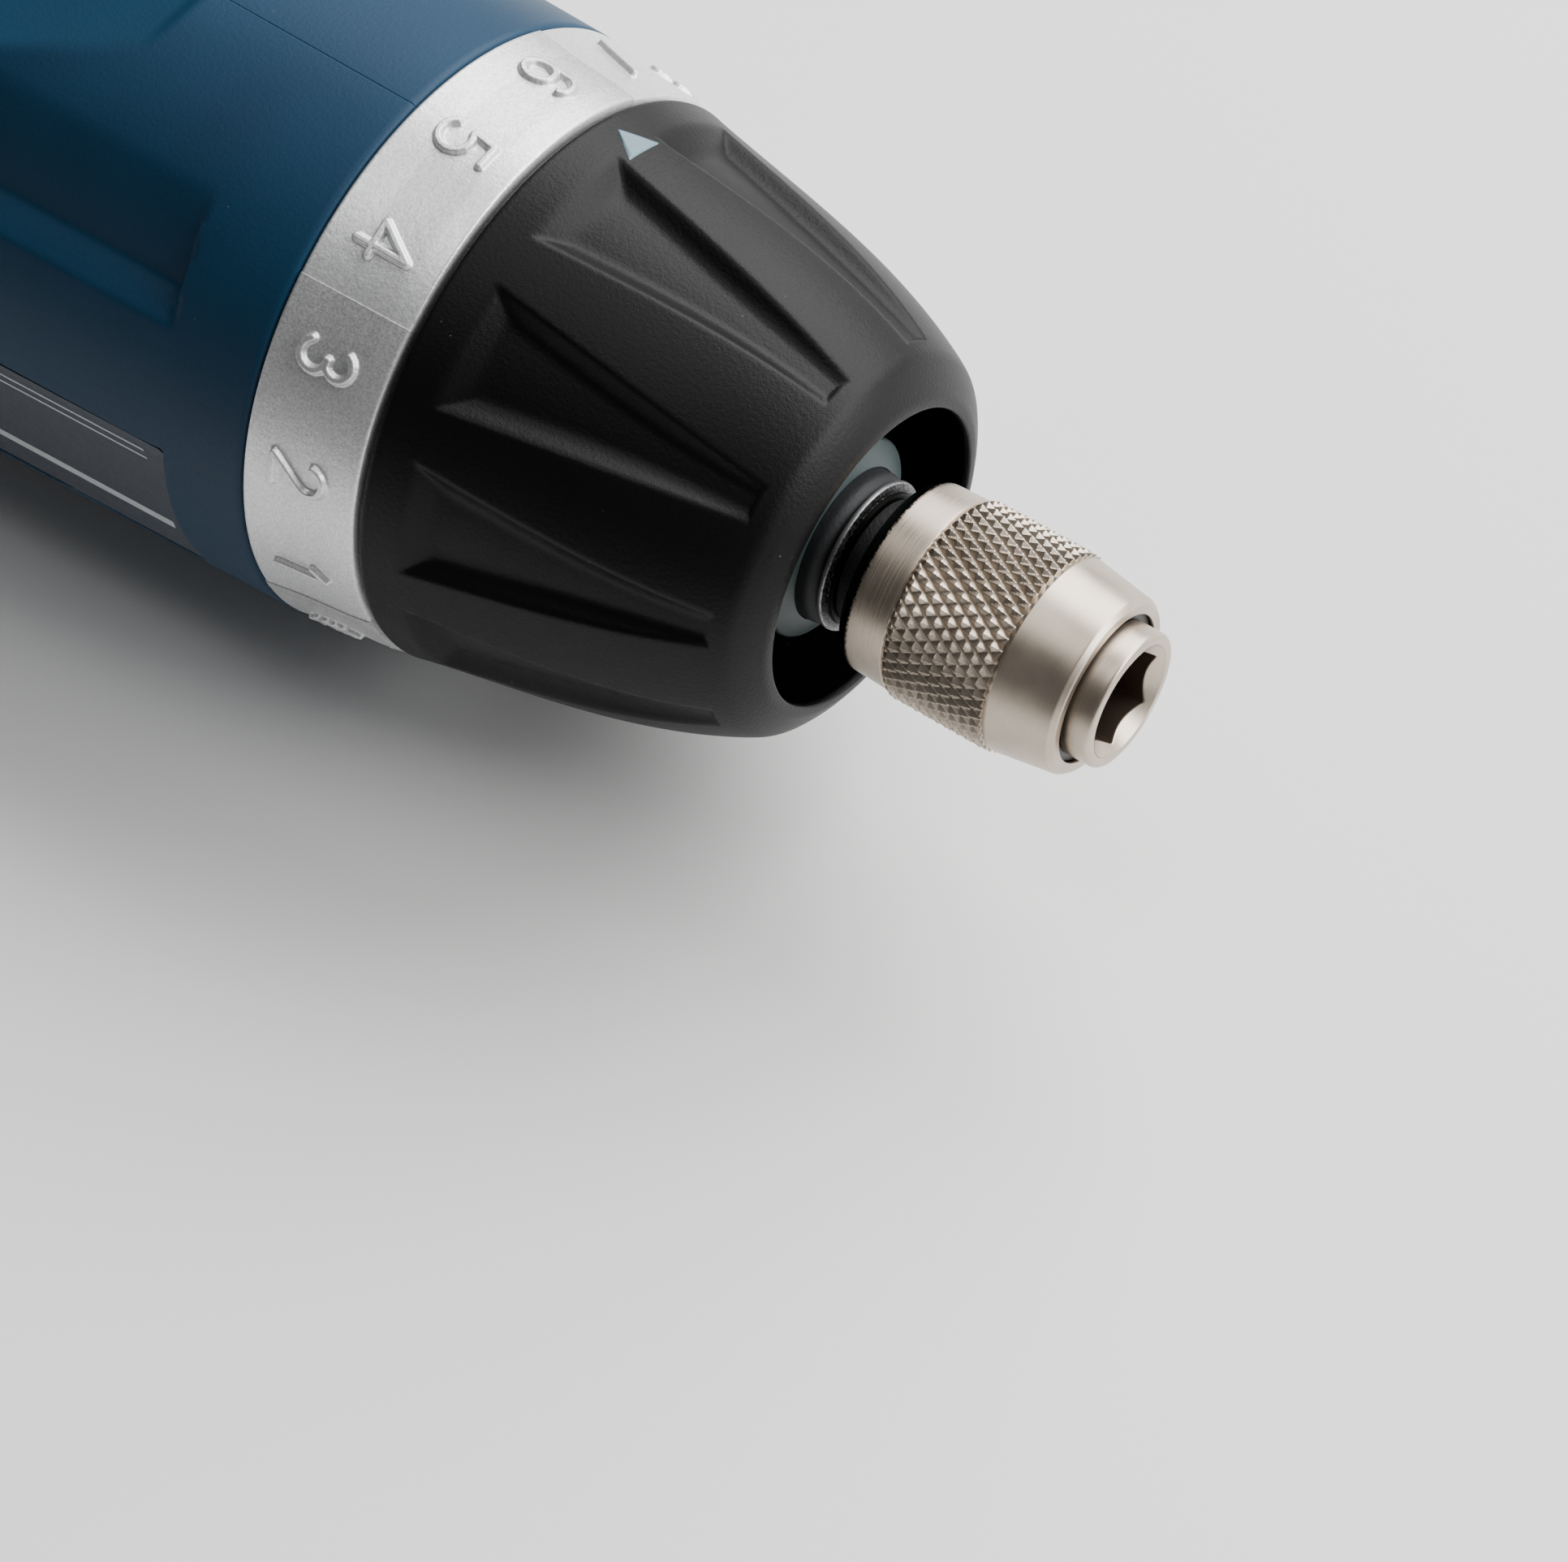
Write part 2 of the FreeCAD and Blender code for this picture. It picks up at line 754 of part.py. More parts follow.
scoop = side_plate("scoop", [
    (-size.scoop_front, size.scoop_lip),
    (-size.scoop_front - size.scoop_step_length, size.scoop_start),
    (-size.deck_front, size.deck_height),
    (-size.deck_rear - FAR, size.deck_height),
    (-size.deck_rear - FAR, FAR),
    (-size.scoop_front, FAR),
], 2 * FAR)
switch_slot = block("switch_slot",
                    (axial(-size.rocker_at - size.rocker_length / 2 - size.rocker_gap),
                     -size.rocker_width / 2 - size.rocker_gap, size.board_height),
                    (axial(-size.rocker_at + size.rocker_length / 2 + size.rocker_gap),
                     size.rocker_width / 2 + size.rocker_gap, FAR))
pin_bore = rod("pin_bore", size.rocker_pin_radius + size.fit_clearance, size.rocker_pin_length,
               axial(-size.rocker_at), -size.rocker_pin_length / 2, size.rocker_pin_height, "y")
light_bore = rod("light_bore", size.light_radius + size.seat_clearance, FAR, axial(-size.light_at), 0.0,
                 size.board_height + size.board_thickness, "z")
belly = block("belly", (axial(-size.casing_length), -FAR, -FAR - size.belly_height),
              (axial(0.0), FAR, -size.belly_height + size.rest_proud))
plate_floor = size.plate_edge_height - size.plate_step
panel_floor = size.panel_edge_height - size.panel_depth
openings = [scoop, switch_slot, pin_bore, light_bore, belly]
for side, word in ((RIGHT, "right"), (LEFT, "left")):
    panel = recess(f"panel_{word}", side, size.panel_angle, size.panel_front + size.panel_end_slope,
                   panel_floor, 2 * size.panel_depth,
                   (size.panel_length, size.panel_upper, size.panel_lower),
                   (2 * size.panel_end_slope, 2 * size.panel_upper_slope, 2 * size.panel_lower_slope))
    openings.append(round_corners(f"panel_{word}_rounded", panel, size.panel_corner,
                                  outward(size.panel_angle, side)))
half_plate = size.plate_height / 2
openings.append(recess("plate_recess", RIGHT, size.plate_angle, size.plate_front, plate_floor, FAR,
                       (size.plate_length, half_plate, half_plate), (0.0, 0.0, 0.0)))
for index, (place, height) in enumerate(screw_spots):
    openings.append(rod(f"screw_core_{index}", size.screw_radius + size.seat_clearance,
                        size.screw_reach + size.screw_seat + size.screw_clearance, axial(-place),
                        -size.screw_reach - size.screw_clearance, height, "y"))
    openings.append(rod(f"screw_well_{index}", size.screw_head_radius + size.screw_clearance, FAR,
                        axial(-place), size.screw_seat, height, "y"))

grip_skin = cut("grip_skin", turned("grip_outside", barrel_outline(size.grip_proud)),
                turned("grip_inside", barrel_outline(-size.grip_inset)))
grip_outline = [
    (-size.grip_front, -size.grip_lower + size.grip_corner, -size.grip_corner),
    (-size.grip_front, size.grip_upper - size.grip_corner),
    (-size.grip_front - size.grip_corner, size.grip_upper, -size.grip_corner),
    (-size.grip_rear + size.grip_corner, size.grip_upper),
    (-size.grip_rear, size.grip_upper - size.grip_corner, -size.grip_corner),
    (-size.grip_rear, -size.grip_lower + size.grip_corner),
    (-size.grip_rear + size.grip_corner, -size.grip_lower, -size.grip_corner),
    (-size.grip_front - size.grip_corner, -size.grip_lower),
]
grip_field = side_plate("grip_field", grip_outline, 2 * FAR)
pierced = fuse("rested_shell", cut("pierced_shell", shell, *openings), belly_rest)
for side, word in ((RIGHT, "right"), (LEFT, "left")):
    low, high = (-FAR, 0.0) if side == RIGHT else (0.0, FAR)
    half = block(f"half_{word}", (axial(-size.casing_length - FAR), low, -FAR), (axial(FAR), high, FAR))
    pad = node(f"grip_{word}", common(f"pad_{word}", grip_skin, grip_field, half))
    node(f"housing_{word}", cut(f"casing_{word}", common(f"shell_{word}", pierced, half), pad))

screws = []
for index, (place, height) in enumerate(screw_spots):
    shank = rod(f"screw_shank_{index}", size.screw_radius, size.screw_reach + size.screw_seat, axial(-place),
                -size.screw_reach, height, "y")
    head = rod(f"screw_head_{index}", size.screw_head_radius, size.screw_head_height, axial(-place),
               size.screw_seat, height, "y")
    screws.append(fuse(f"casing_screw_{index}", shank, head))
node("housing_screws", group("screw_set", *screws))

plate = recess("plate_blank", RIGHT, size.plate_angle, size.plate_front, plate_floor, size.plate_thickness,
               (size.plate_length, half_plate, half_plate), (0.0, 0.0, 0.0), size.plate_margin)
node("rating_plate", plate)

# Tail cap with the charging socket
cap_end = size.casing_length + size.cap_length
node("tail_cap", turned("cap", [
    (-size.casing_length, size.tail_radius),
    (-cap_end + size.cap_round, size.tail_radius),
    (-cap_end, size.tail_radius - size.cap_round, -size.cap_round),
    (-cap_end, size.jack_radius),
    (-cap_end + size.cap_wall, size.jack_radius),
    (-cap_end + size.cap_wall, size.tail_radius - size.cap_round),
    (-size.casing_length + size.spigot_length, size.tail_radius - size.casing_wall - 2 * size.cap_wall),
    (-size.casing_length + size.spigot_length, size.tail_radius - size.casing_wall - size.spigot_gap),
    (-size.casing_length, size.tail_radius - size.casing_wall - size.spigot_gap),
]))
jack_front = -cap_end + size.jack_length
jack = turned("jack", [
    (-cap_end, size.jack_hole_radius),
    (-cap_end, size.jack_radius),
    (-cap_end + size.cap_wall, size.jack_radius),
    (-cap_end + size.cap_wall, size.jack_radius + size.cap_wall / 2),
    (jack_front, size.jack_radius + size.cap_wall / 2),
    (jack_front, 0.0),
    (-cap_end + size.jack_hole_depth, 0.0),
    (-cap_end + size.jack_hole_depth, size.jack_hole_radius),
])
jack_pin = rod("jack_pin", size.jack_pin_radius, size.jack_hole_depth - size.cap_wall / 2,
               axial(-cap_end + size.cap_wall / 2))
node("charge_socket", fuse("jack_and_pin", jack, jack_pin))

# Switch: a rocker over two push switches on the control board
rocker_front, rocker_rear = size.rocker_length / 2 - size.rocker_at, -size.rocker_length / 2 - size.rocker_at
rocker_form = side_plate("rocker_form", [
    (rocker_rear, size.rocker_underside),
    (rocker_rear, size.rocker_crest),
    (-size.rocker_at, size.rocker_dip),
    (rocker_front, size.rocker_crest),
    (rocker_front, size.rocker_underside),
], size.rocker_width)
node("rocker", cut("rocker_bored", rocker_form,
                   rod("rocker_bore", size.rocker_pin_radius + size.seat_clearance, 2 * size.rocker_width,
                       axial(-size.rocker_at), -size.rocker_width, size.rocker_pin_height, "y")))
node("rocker_pin", rod("pivot_pin", size.rocker_pin_radius, size.rocker_pin_length, axial(-size.rocker_at),
                       -size.rocker_pin_length / 2, size.rocker_pin_height, "y"))
board_top = size.board_height + size.board_thickness
node("control_board", block("board", (axial(-size.board_front - size.board_length), -size.board_width / 2,
                                      size.board_height),
                            (axial(-size.board_front), size.board_width / 2, board_top)))
pushes = []
for index, offset in enumerate((-size.push_offset, size.push_offset)):
    place = offset - size.rocker_at
    can = block(f"push_can_{index}", (axial(place - size.push_size / 2), -size.push_size / 2, board_top),
                (axial(place + size.push_size / 2), size.push_size / 2, board_top + size.push_height))
    button = rod(f"push_button_{index}", size.push_button_radius, size.push_button_height, axial(place), 0.0,
                 board_top + size.push_height, "z")
    pushes.append(fuse(f"push_{index}", can, button))
node("push_switches", group("push_set", *pushes))
node("charge_light", rod("light_pipe", size.light_radius, size.deck_height + size.light_proud - board_top,
                         axial(-size.light_at), 0.0, board_top, "z"))

# Battery cell, its welded tabs and the leads
cell_rear = size.cell_front + size.cell_length
node("battery_cell", turned("cell", [
    (-cell_rear, 0.0),
    (-cell_rear, size.cell_radius),
    (-size.cell_front, size.cell_radius),
    (-size.cell_front, size.cell_button_radius),
    (-size.cell_front + size.cell_button_height, size.cell_button_radius),
    (-size.cell_front + size.cell_button_height, 0.0),
]))
front_tab = -size.cell_front + size.cell_button_height
tabs = [
    block("front_tab", (axial(front_tab), -size.tab_width / 2, -size.tab_reach / 2),
          (axial(front_tab + size.tab_thickness), size.tab_width / 2, size.tab_reach)),
    block("rear_tab", (axial(-cell_rear - size.tab_thickness), -size.tab_width / 2, -size.tab_reach / 2),
          (axial(-cell_rear), size.tab_width / 2, size.tab_reach)),
]
node("battery_tabs", group("tab_set", *tabs))


def lead(name, points):
    """An insulated wire along straight runs joined by round bends."""
    radius, bend = size.lead_radius.value, size.lead_bend.value
    spots = [Vector(*(as_size(amount).value for amount in point)) for point in points]
    edges, here = [], spots[0]
    for before, corner, after in zip(spots, spots[1:], spots[2:]):
        back, ahead = (before - corner).normalize(), (after - corner).normalize()
        reach = bend / math.tan(back.getAngle(ahead) / 2)
        bisector = (back + ahead).normalize()
        centre = corner + bisector * math.hypot(reach, bend)
        first, last = corner + back * reach, corner + ahead * reach
        edges.append(Part.LineSegment(here, first).toShape())
        edges.append(Part.Arc(first, centre - bisector * bend, last).toShape())
        here = last
    edges.append(Part.LineSegment(here, spots[-1]).toShape())
    section = Part.Wire(Part.Circle(spots[0], spots[1] - spots[0], radius).toShape())
    return made_of(name, Part.Wire(edges).makePipeShell([section], True, False))


terminal_end = -size.motor_front - size.motor_length - size.motor_cap_thickness - size.terminal_length
wire_top = size.board_height
lead_turn = size.lead_bend + size.lead_straight
board_rear = -size.board_front - size.board_length
board_middle = size.board_height + size.board_thickness / 2
wires = []
for index, side in enumerate((-1, 1)):
    across = size.terminal_spread * side
    behind = terminal_end - lead_turn
    wires.append(lead(f"motor_lead_{index}", [
        (axial(terminal_end), across, 0.0), (axial(behind), across, 0.0), (axial(behind), across, wire_top)]))
lead_tab = size.tab_reach / 2
front_face = front_tab + size.tab_thickness
wires.append(lead("front_cell_lead", [
    (axial(front_face), 0.0, lead_tab),
    (axial(front_face + lead_turn), 0.0, lead_tab),
    (axial(front_face + lead_turn), 0.0, wire_top)]))
rear_face = -cell_rear - size.tab_thickness
wires.append(lead("rear_cell_lead", [
    (axial(rear_face), 0.0, lead_tab),
    (axial(rear_face - lead_turn), 0.0, lead_tab),
    (axial(rear_face - lead_turn), 0.0, board_middle),
    (axial(board_rear), 0.0, board_middle)]))
node("leads", group("lead_set", *wires))

# Motor
motor_rear = -size.motor_front - size.motor_length
can_bore = size.motor_radius - size.motor_wall
can_front = -size.motor_front - size.motor_wall
boss_front = -size.motor_front + size.motor_boss_length
can_form = turned("can_form", [
    (boss_front, size.motor_bush_radius),
    (boss_front, size.motor_boss_radius),
    (-size.motor_front, size.motor_boss_radius),
    (-size.motor_front, size.motor_radius),
    (motor_rear, size.motor_radius),
    (motor_rear, can_bore),
    (can_front, can_bore),
    (can_front, size.motor_bush_radius),
])
plate_front = -size.motor_front + size.plate_wall
plate_form = tube("plate_form", -size.motor_front, plate_front, size.motor_boss_radius + size.seat_clearance,
                  size.case_bore - size.seat_clearance)
screw_holes, motor_screws = [], []
for index, side in enumerate((-1, 1)):
    across = size.motor_screw_spread * side
    screw_holes.append(rod(f"motor_screw_hole_{index}", size.motor_screw_radius + size.seat_clearance, FAR,
                           axial(can_front), across))
    shank = rod(f"motor_shank_{index}", size.motor_screw_radius, size.plate_wall + size.motor_wall,
                axial(can_front), across)
    head = rod(f"motor_head_{index}", size.motor_screw_head, size.motor_screw_head_height, axial(plate_front),
               across)
    motor_screws.append(fuse(f"motor_screw_{index}", shank, head))
can_holes = fuse("motor_screw_holes", *screw_holes)
node("motor_can", cut("motor_shell", can_form, can_holes))
node("motor_plate", cut("plate_drilled", plate_form, can_holes))
node("motor_screws", group("motor_screw_set", *motor_screws))
cap_rear = motor_rear - size.motor_cap_thickness
node("motor_end_cap", turned("end_cap", [
    (motor_rear + size.motor_cap_inset, size.motor_bush_radius),
    (motor_rear + size.motor_cap_inset, can_bore - size.seat_clearance),
    (motor_rear, can_bore - size.seat_clearance),
    (motor_rear, size.motor_radius),
    (cap_rear, size.motor_radius),
    (cap_rear, size.motor_boss_radius),
    (cap_rear - size.motor_cap_boss, size.motor_boss_radius),
    (cap_rear - size.motor_cap_boss, size.motor_bush_radius),
]))
shaft_bore = size.shaft_radius + size.shaft_clearance
bush_outer = size.motor_bush_radius - size.fit_clearance
rear_boss = cap_rear - size.motor_cap_boss
node("motor_bushes", group(
    "bush_pair",
    tube("front_motor_bush", boss_front - size.motor_bush_length, boss_front, shaft_bore, bush_outer),
    tube("rear_motor_bush", rear_boss, rear_boss + size.motor_bush_length, shaft_bore, bush_outer)))
magnet_ring = tube("magnet_ring", -size.core_front - size.core_length / 2 - size.magnet_length / 2,
                   -size.core_front - size.core_length / 2 + size.magnet_length / 2,
                   can_bore - size.magnet_thickness - size.seat_clearance, can_bore - size.seat_clearance)
magnet_gap = math.radians(90 - size.magnet_angle.value / 2)
gap_half = size.motor_radius * math.tan(magnet_gap)
gaps = []
for index, side in enumerate((-1, 1)):
    body = doc.addObject("PartDesign::Body", f"magnet_gap_{index}")
    outline = [(0.0, 0.0), (-gap_half, size.motor_radius * side), (gap_half, size.motor_radius * side)]
    profile = draw(body, f"magnet_gap_profile_{index}", outline, "YZ_Plane")
    pad = body.newObject("PartDesign::Pad", f"magnet_gap_pad_{index}")
    pad.Profile = profile
    pad.SideType = "Symmetric"
    set_sizes(pad, Length=4 * size.casing_length)
    gaps.append(body)
node("motor_magnets", cut("magnet_pair", magnet_ring, *gaps))

core_rear = -size.core_front - size.core_length
core_form = tube("core_form", core_rear, -size.core_front, size.shaft_radius + size.fit_clearance,
                 size.core_radius)
pockets, winding_runs = [], []
for index, angle in enumerate(round_about(PLANETS)):
    across, height = around(size.core_pocket_at, angle)
    pockets.append(rod(f"core_pocket_{index}", size.core_pocket_radius, size.core_length, axial(core_rear),
                       across, height))
    slot = block(f"core_slot_{index}", (axial(core_rear), -size.core_slot / 2, size.core_pocket_at),
                 (axial(-size.core_front), size.core_slot / 2, size.core_radius + size.core_slot))
    holder = made_of(f"core_opening_{index}", Part.Shape())
    doc.recompute()
    turned_slot = slot.Shape.copy()
    turned_slot.rotate(Vector(0, 0, 0), Vector(1, 0, 0), angle)
    holder.Shape = turned_slot
    pockets.append(holder)
    winding_runs.append(rod(f"winding_run_{index}", size.core_pocket_radius - size.winding_play,
                            size.core_length + 2 * size.winding_overhang,
                            axial(core_rear - size.winding_overhang), across, height))
node("rotor_core", cut("core", core_form, *pockets))
end_turns = [
    tube("front_end_turns", -size.core_front + size.winding_play, -size.core_front + size.winding_overhang,
         size.winding_inner, size.winding_outer),
    tube("rear_end_turns", core_rear - size.winding_overhang, core_rear - size.winding_play,
         size.winding_inner, size.winding_outer)]
node("rotor_windings", common("windings", fuse("winding_forms", *winding_runs, *end_turns),
                              tube("winding_limit", core_rear - size.winding_overhang,
                                   -size.core_front + size.winding_overhang, size.winding_inner,
                                   size.core_radius - size.winding_play)))
commutator_rear = motor_rear + size.motor_cap_inset + size.winding_play * 2
node("commutator", tube("segments", commutator_rear, commutator_rear + size.commutator_length,
                        size.shaft_radius + size.fit_clearance, size.commutator_radius))
brush_middle = commutator_rear + size.commutator_length / 2
brushes = []
for index, side in enumerate((-1, 1)):
    near = size.commutator_radius + size.brush_gap
    far = near + size.brush_length
    reach = [near, far] if side > 0 else [-far, -near]
    arm = [far - size.brush_arm, far] if side > 0 else [-far, -far + size.brush_arm]
    half_brush = size.brush_width / 2
    carbon = block(f"brush_{index}", (axial(brush_middle - half_brush), reach[0], -half_brush),
                   (axial(brush_middle + half_brush), reach[1], half_brush))
    arm_block = block(f"brush_arm_{index}", (axial(motor_rear + size.motor_cap_inset), arm[0], -half_brush),
                      (axial(brush_middle), arm[1], half_brush))
    brushes.append(fuse(f"brush_and_arm_{index}", carbon, arm_block))
node("motor_brushes", group("brush_pair", *brushes))
terminals = []
for index, side in enumerate((-1, 1)):
    across = size.terminal_spread * side
    terminals.append(block(f"terminal_{index}",
                           (axial(cap_rear - size.terminal_length), across - size.terminal_width / 2,
                            -size.terminal_thickness / 2),
                           (axial(cap_rear), across + size.terminal_width / 2, size.terminal_thickness / 2)))
node("motor_terminals", group("terminal_pair", *terminals))

# Places of the gear train, from the motor plate forwards
first_planet_rear = plate_front + size.motor_screw_head_height + size.gear_gap * 1.5
first_planet_front = first_planet_rear + size.first_planet_length
first_disc_rear = first_planet_front + size.gear_gap
first_disc_front = first_disc_rear + size.carrier_thickness
second_planet_rear = first_disc_front + size.gear_gap
second_planet_front = second_planet_rear + size.second_planet_length
second_disc_rear = second_planet_front + size.gear_gap
second_disc_front = second_disc_rear + size.carrier_thickness
wall_rear = size.case_wall_front - size.case_wall
ball_at = wall_rear + size.case_wall / 2
clutch_ring_front = ball_at - size.ball_radius - size.ball_clearance
ring_split = first_disc_front - size.carrier_thickness / 2

shaft_front = first_disc_rear - size.gear_gap / 2
shaft_rear = rear_boss - size.shaft_tail
node("rotor_shaft", rod("motor_shaft", size.shaft_radius, shaft_front - shaft_rear, axial(shaft_rear)))


def drilled(solid, radius, rear, front, spots=((0.0, 0.0),)):
    """A solid with round holes along the drive axis at (Y, Z) spots."""
    start, reach = axial(rear).value - OVERRUN, (front - rear).value + 2 * OVERRUN
    holes = [Part.makeCylinder(radius, reach, Vector(start, across, height), Vector(1, 0, 0))
             for across, height in spots]
    return solid.cut(holes)


pinion = gear_solid(sun_teeth, first_planet_rear, shaft_front)
node("motor_pinion", made_of("pinion", drilled(pinion, size.shaft_radius.value + size.fit_clearance.value,
                                               first_planet_rear, shaft_front)))


def ring_gear(rear, front):
    """A ring with teeth inside."""
    blank = Part.makeCylinder(size.ring_gear_radius.value, (front - rear).value,
                              Vector(axial(rear).value, 0, 0), Vector(1, 0, 0))
    return blank.cut(gear_solid(ring_teeth, rear, front, inside=True))


fixed_rear = plate_front + size.motor_screw_head_height
node("ring_gear_fixed", made_of("fixed_ring", ring_gear(fixed_rear, ring_split - size.gear_gap / 4)))
bump_angles = round_about(int(size.ball_count.value), 180.0 / size.ball_count.value)
clutch_ring = ring_gear(ring_split + size.gear_gap / 4, clutch_ring_front)
bump_height = wall_rear - clutch_ring_front - size.ball_clearance
bumps = []
for angle in bump_angles:
    across, height = around(size.ball_circle, angle)
    bumps.append(Part.makeCylinder(size.ball_radius.value / 2, bump_height.value,
                                   Vector(axial(clutch_ring_front).value, across.value, height.value),
                                   Vector(1, 0, 0)))
node("ring_gear_clutch", made_of("clutch_ring", clutch_ring.fuse(bumps)))


def planets(letter, rear, front, pin_rear, pin_front, pin_name):
    """Three planet gears in mesh with the sun and the ring, and the pins they run on."""
    pins = []
    blank = drilled(gear_solid(planet_teeth, rear, front), size.pin_radius.value + size.pin_clearance.value,
                    rear, front)
    for index, angle in enumerate(round_about(PLANETS)):
        across, height = around(planet_orbit, angle)
        spin = angle - angle * ring_teeth / planet_teeth
        planet = made_of(f"planet_{letter}_gear_{index + 1}", blank.copy())
        planet.Placement = Placement(Vector(0, across.value, height.value), Rotation(Vector(1, 0, 0), spin))
        node(f"planet_{letter}{index + 1}", planet)
        pins.append(rod(f"{pin_name}_{index}", size.pin_radius, pin_front - pin_rear, axial(pin_rear),
                        across, height))
    node(pin_name, group(pin_name + "_set", *pins))


planets("a", first_planet_rear, first_planet_front, first_planet_rear, first_disc_front, "carrier_pins_first")
planets("b", second_planet_rear, second_planet_front, second_planet_rear, second_disc_front,
        "carrier_pins_second")
pin_spots = [tuple(amount.value for amount in around(planet_orbit, angle)) for angle in round_about(PLANETS)]


def carrier_disc(rear, front):
    disc = Part.makeCylinder(size.carrier_radius.value, (front - rear).value, Vector(axial(rear).value, 0, 0),
                             Vector(1, 0, 0))
    return drilled(disc, size.pin_radius.value + size.fit_clearance.value, rear, front, pin_spots)


second_sun = gear_solid(sun_teeth, first_disc_front, second_disc_rear - size.gear_gap / 2)
first_disc = carrier_disc(first_disc_rear, first_disc_front)
node("carrier_first", made_of("first_carrier", first_disc.fuse(second_sun)))
hub_radius = size.spindle_radius - size.hub_step
node("carrier_second", made_of("second_carrier", drilled(
    carrier_disc(second_disc_rear, second_disc_front), (hub_radius + size.fit_clearance).value,
    second_disc_rear, second_disc_front)))

# Gear case with its threaded nose, and the clutch on it
clip_rear = size.collar_web_front + size.collar_clearance
case_form = turned("case_form", [
    (-size.motor_front, size.case_bore),
    (-size.motor_front, size.case_radius),
    (size.case_step, size.case_radius),
    (size.case_step, size.case_rim_radius),
    (size.case_rim_end, size.case_rim_radius),
    (size.case_rim_end, size.case_rim_bore),
    (size.case_wall_front, size.case_rim_bore),
    (size.case_wall_front, size.thread_radius),
    (size.thread_end, size.thread_radius),
    (size.thread_end, size.nose_radius),
    (clip_rear, size.nose_radius),
    (clip_rear, size.nose_radius - size.clip_groove),
    (clip_rear + size.clip_thickness, size.nose_radius - size.clip_groove),
    (clip_rear + size.clip_thickness, size.nose_radius),
    (size.nose_end, size.nose_radius),
    (size.nose_end, size.bush_radius),
    (size.nose_end - size.bush_length, size.bush_radius),
    (size.nose_end - size.bush_length, size.spindle_radius + size.gear_gap),
    (wall_rear, size.spindle_radius + size.gear_gap),
    (wall_rear, size.case_bore),
])
ball_angles = round_about(int(size.ball_count.value))
ball_holes, balls = [], []
for index, angle in enumerate(ball_angles):
    across, height = around(size.ball_circle, angle)
    ball_holes.append(rod(f"ball_hole_{index}", size.ball_radius + size.ball_clearance, 2 * size.case_wall,
                          axial(wall_rear - size.case_wall / 2), across, height))
    balls.append(ball(f"clutch_ball_{index}", size.ball_radius, axial(ball_at), across, height))
node("gear_case", cut("case", case_form, *ball_holes))
node("clutch_balls", group("ball_set", *balls))
washer_rear = ball_at + size.ball_radius + size.fit_clearance
washer_front = washer_rear + size.washer_thickness
node("clutch_washer", tube("pressure_washer", washer_rear, washer_front,
                           size.thread_radius + size.washer_play, size.case_rim_bore - size.washer_play))
clutch_coil, clutch_gap = coil(washer_front + size.spring_seat, size.nut_rear - size.spring_seat,
                               size.spring_radius.value, size.spring_wire.value, size.spring_turns.value)
print(f"clutch spring: least gap between turns {clutch_gap:.2f} mm")
node("clutch_spring", made_of("clutch_coil", clutch_coil))
nut_front = size.nut_rear + size.nut_length
nut_form = tube("nut_form", size.nut_rear, nut_front,
                size.thread_radius + size.nut_clearance, size.nut_radius)


def keys(name, low_radius, high_radius, width, rear, front):
    """Blocks round the drive axis, as the ribs of the collar or the notches of the nut that they slide in."""
    made = []
    for angle in round_about(int(size.key_count.value)):
        key = Part.makeBox((front - rear).value, width.value, (high_radius - low_radius).value,
                           Vector(axial(rear).value, -width.value / 2, low_radius.value))
        key.rotate(Vector(0, 0, 0), Vector(1, 0, 0), angle)
        made.append(key)
    return made_of(name, Part.makeCompound(made))


node("clutch_nut", cut("nut", nut_form, keys(
    "nut_notches", size.key_radius - size.key_clearance, size.nut_radius + OVERRUN,
    size.key_width + 2 * size.key_clearance, size.nut_rear - OVERRUN, nut_front + OVERRUN)))
clip_front = clip_rear + size.clip_thickness
clip_form = tube("clip_form", clip_rear + size.fit_clearance, clip_front - size.fit_clearance,
                 size.nose_radius - size.clip_groove + size.fit_clearance, size.clip_radius)
clip_gap = block("clip_gap", (axial(clip_rear - OVERRUN), -size.clip_radius / 2, -2 * size.clip_radius),
                 (axial(clip_front + OVERRUN), size.clip_radius / 2, 0.0))
node("collar_clip", cut("clip", clip_form, clip_gap))

# Number ring: a thin cone with a web that sits on the gear case
ring_inner = size.ring_front_radius - size.ring_wall
click_circle = (size.case_radius + ring_inner) / 2
node("number_ring", turned("scale_ring", [
    (size.ring_gap, size.front_radius - size.ring_wall),
    (size.ring_gap, size.front_radius),
    (size.ring_end, size.ring_front_radius),
    (size.ring_end, ring_inner),
    (size.ring_web + size.ring_gap, ring_inner),
    (size.ring_web + size.ring_gap, size.case_radius + size.seat_clearance),
    (size.ring_gap, size.case_radius + size.seat_clearance),
]))

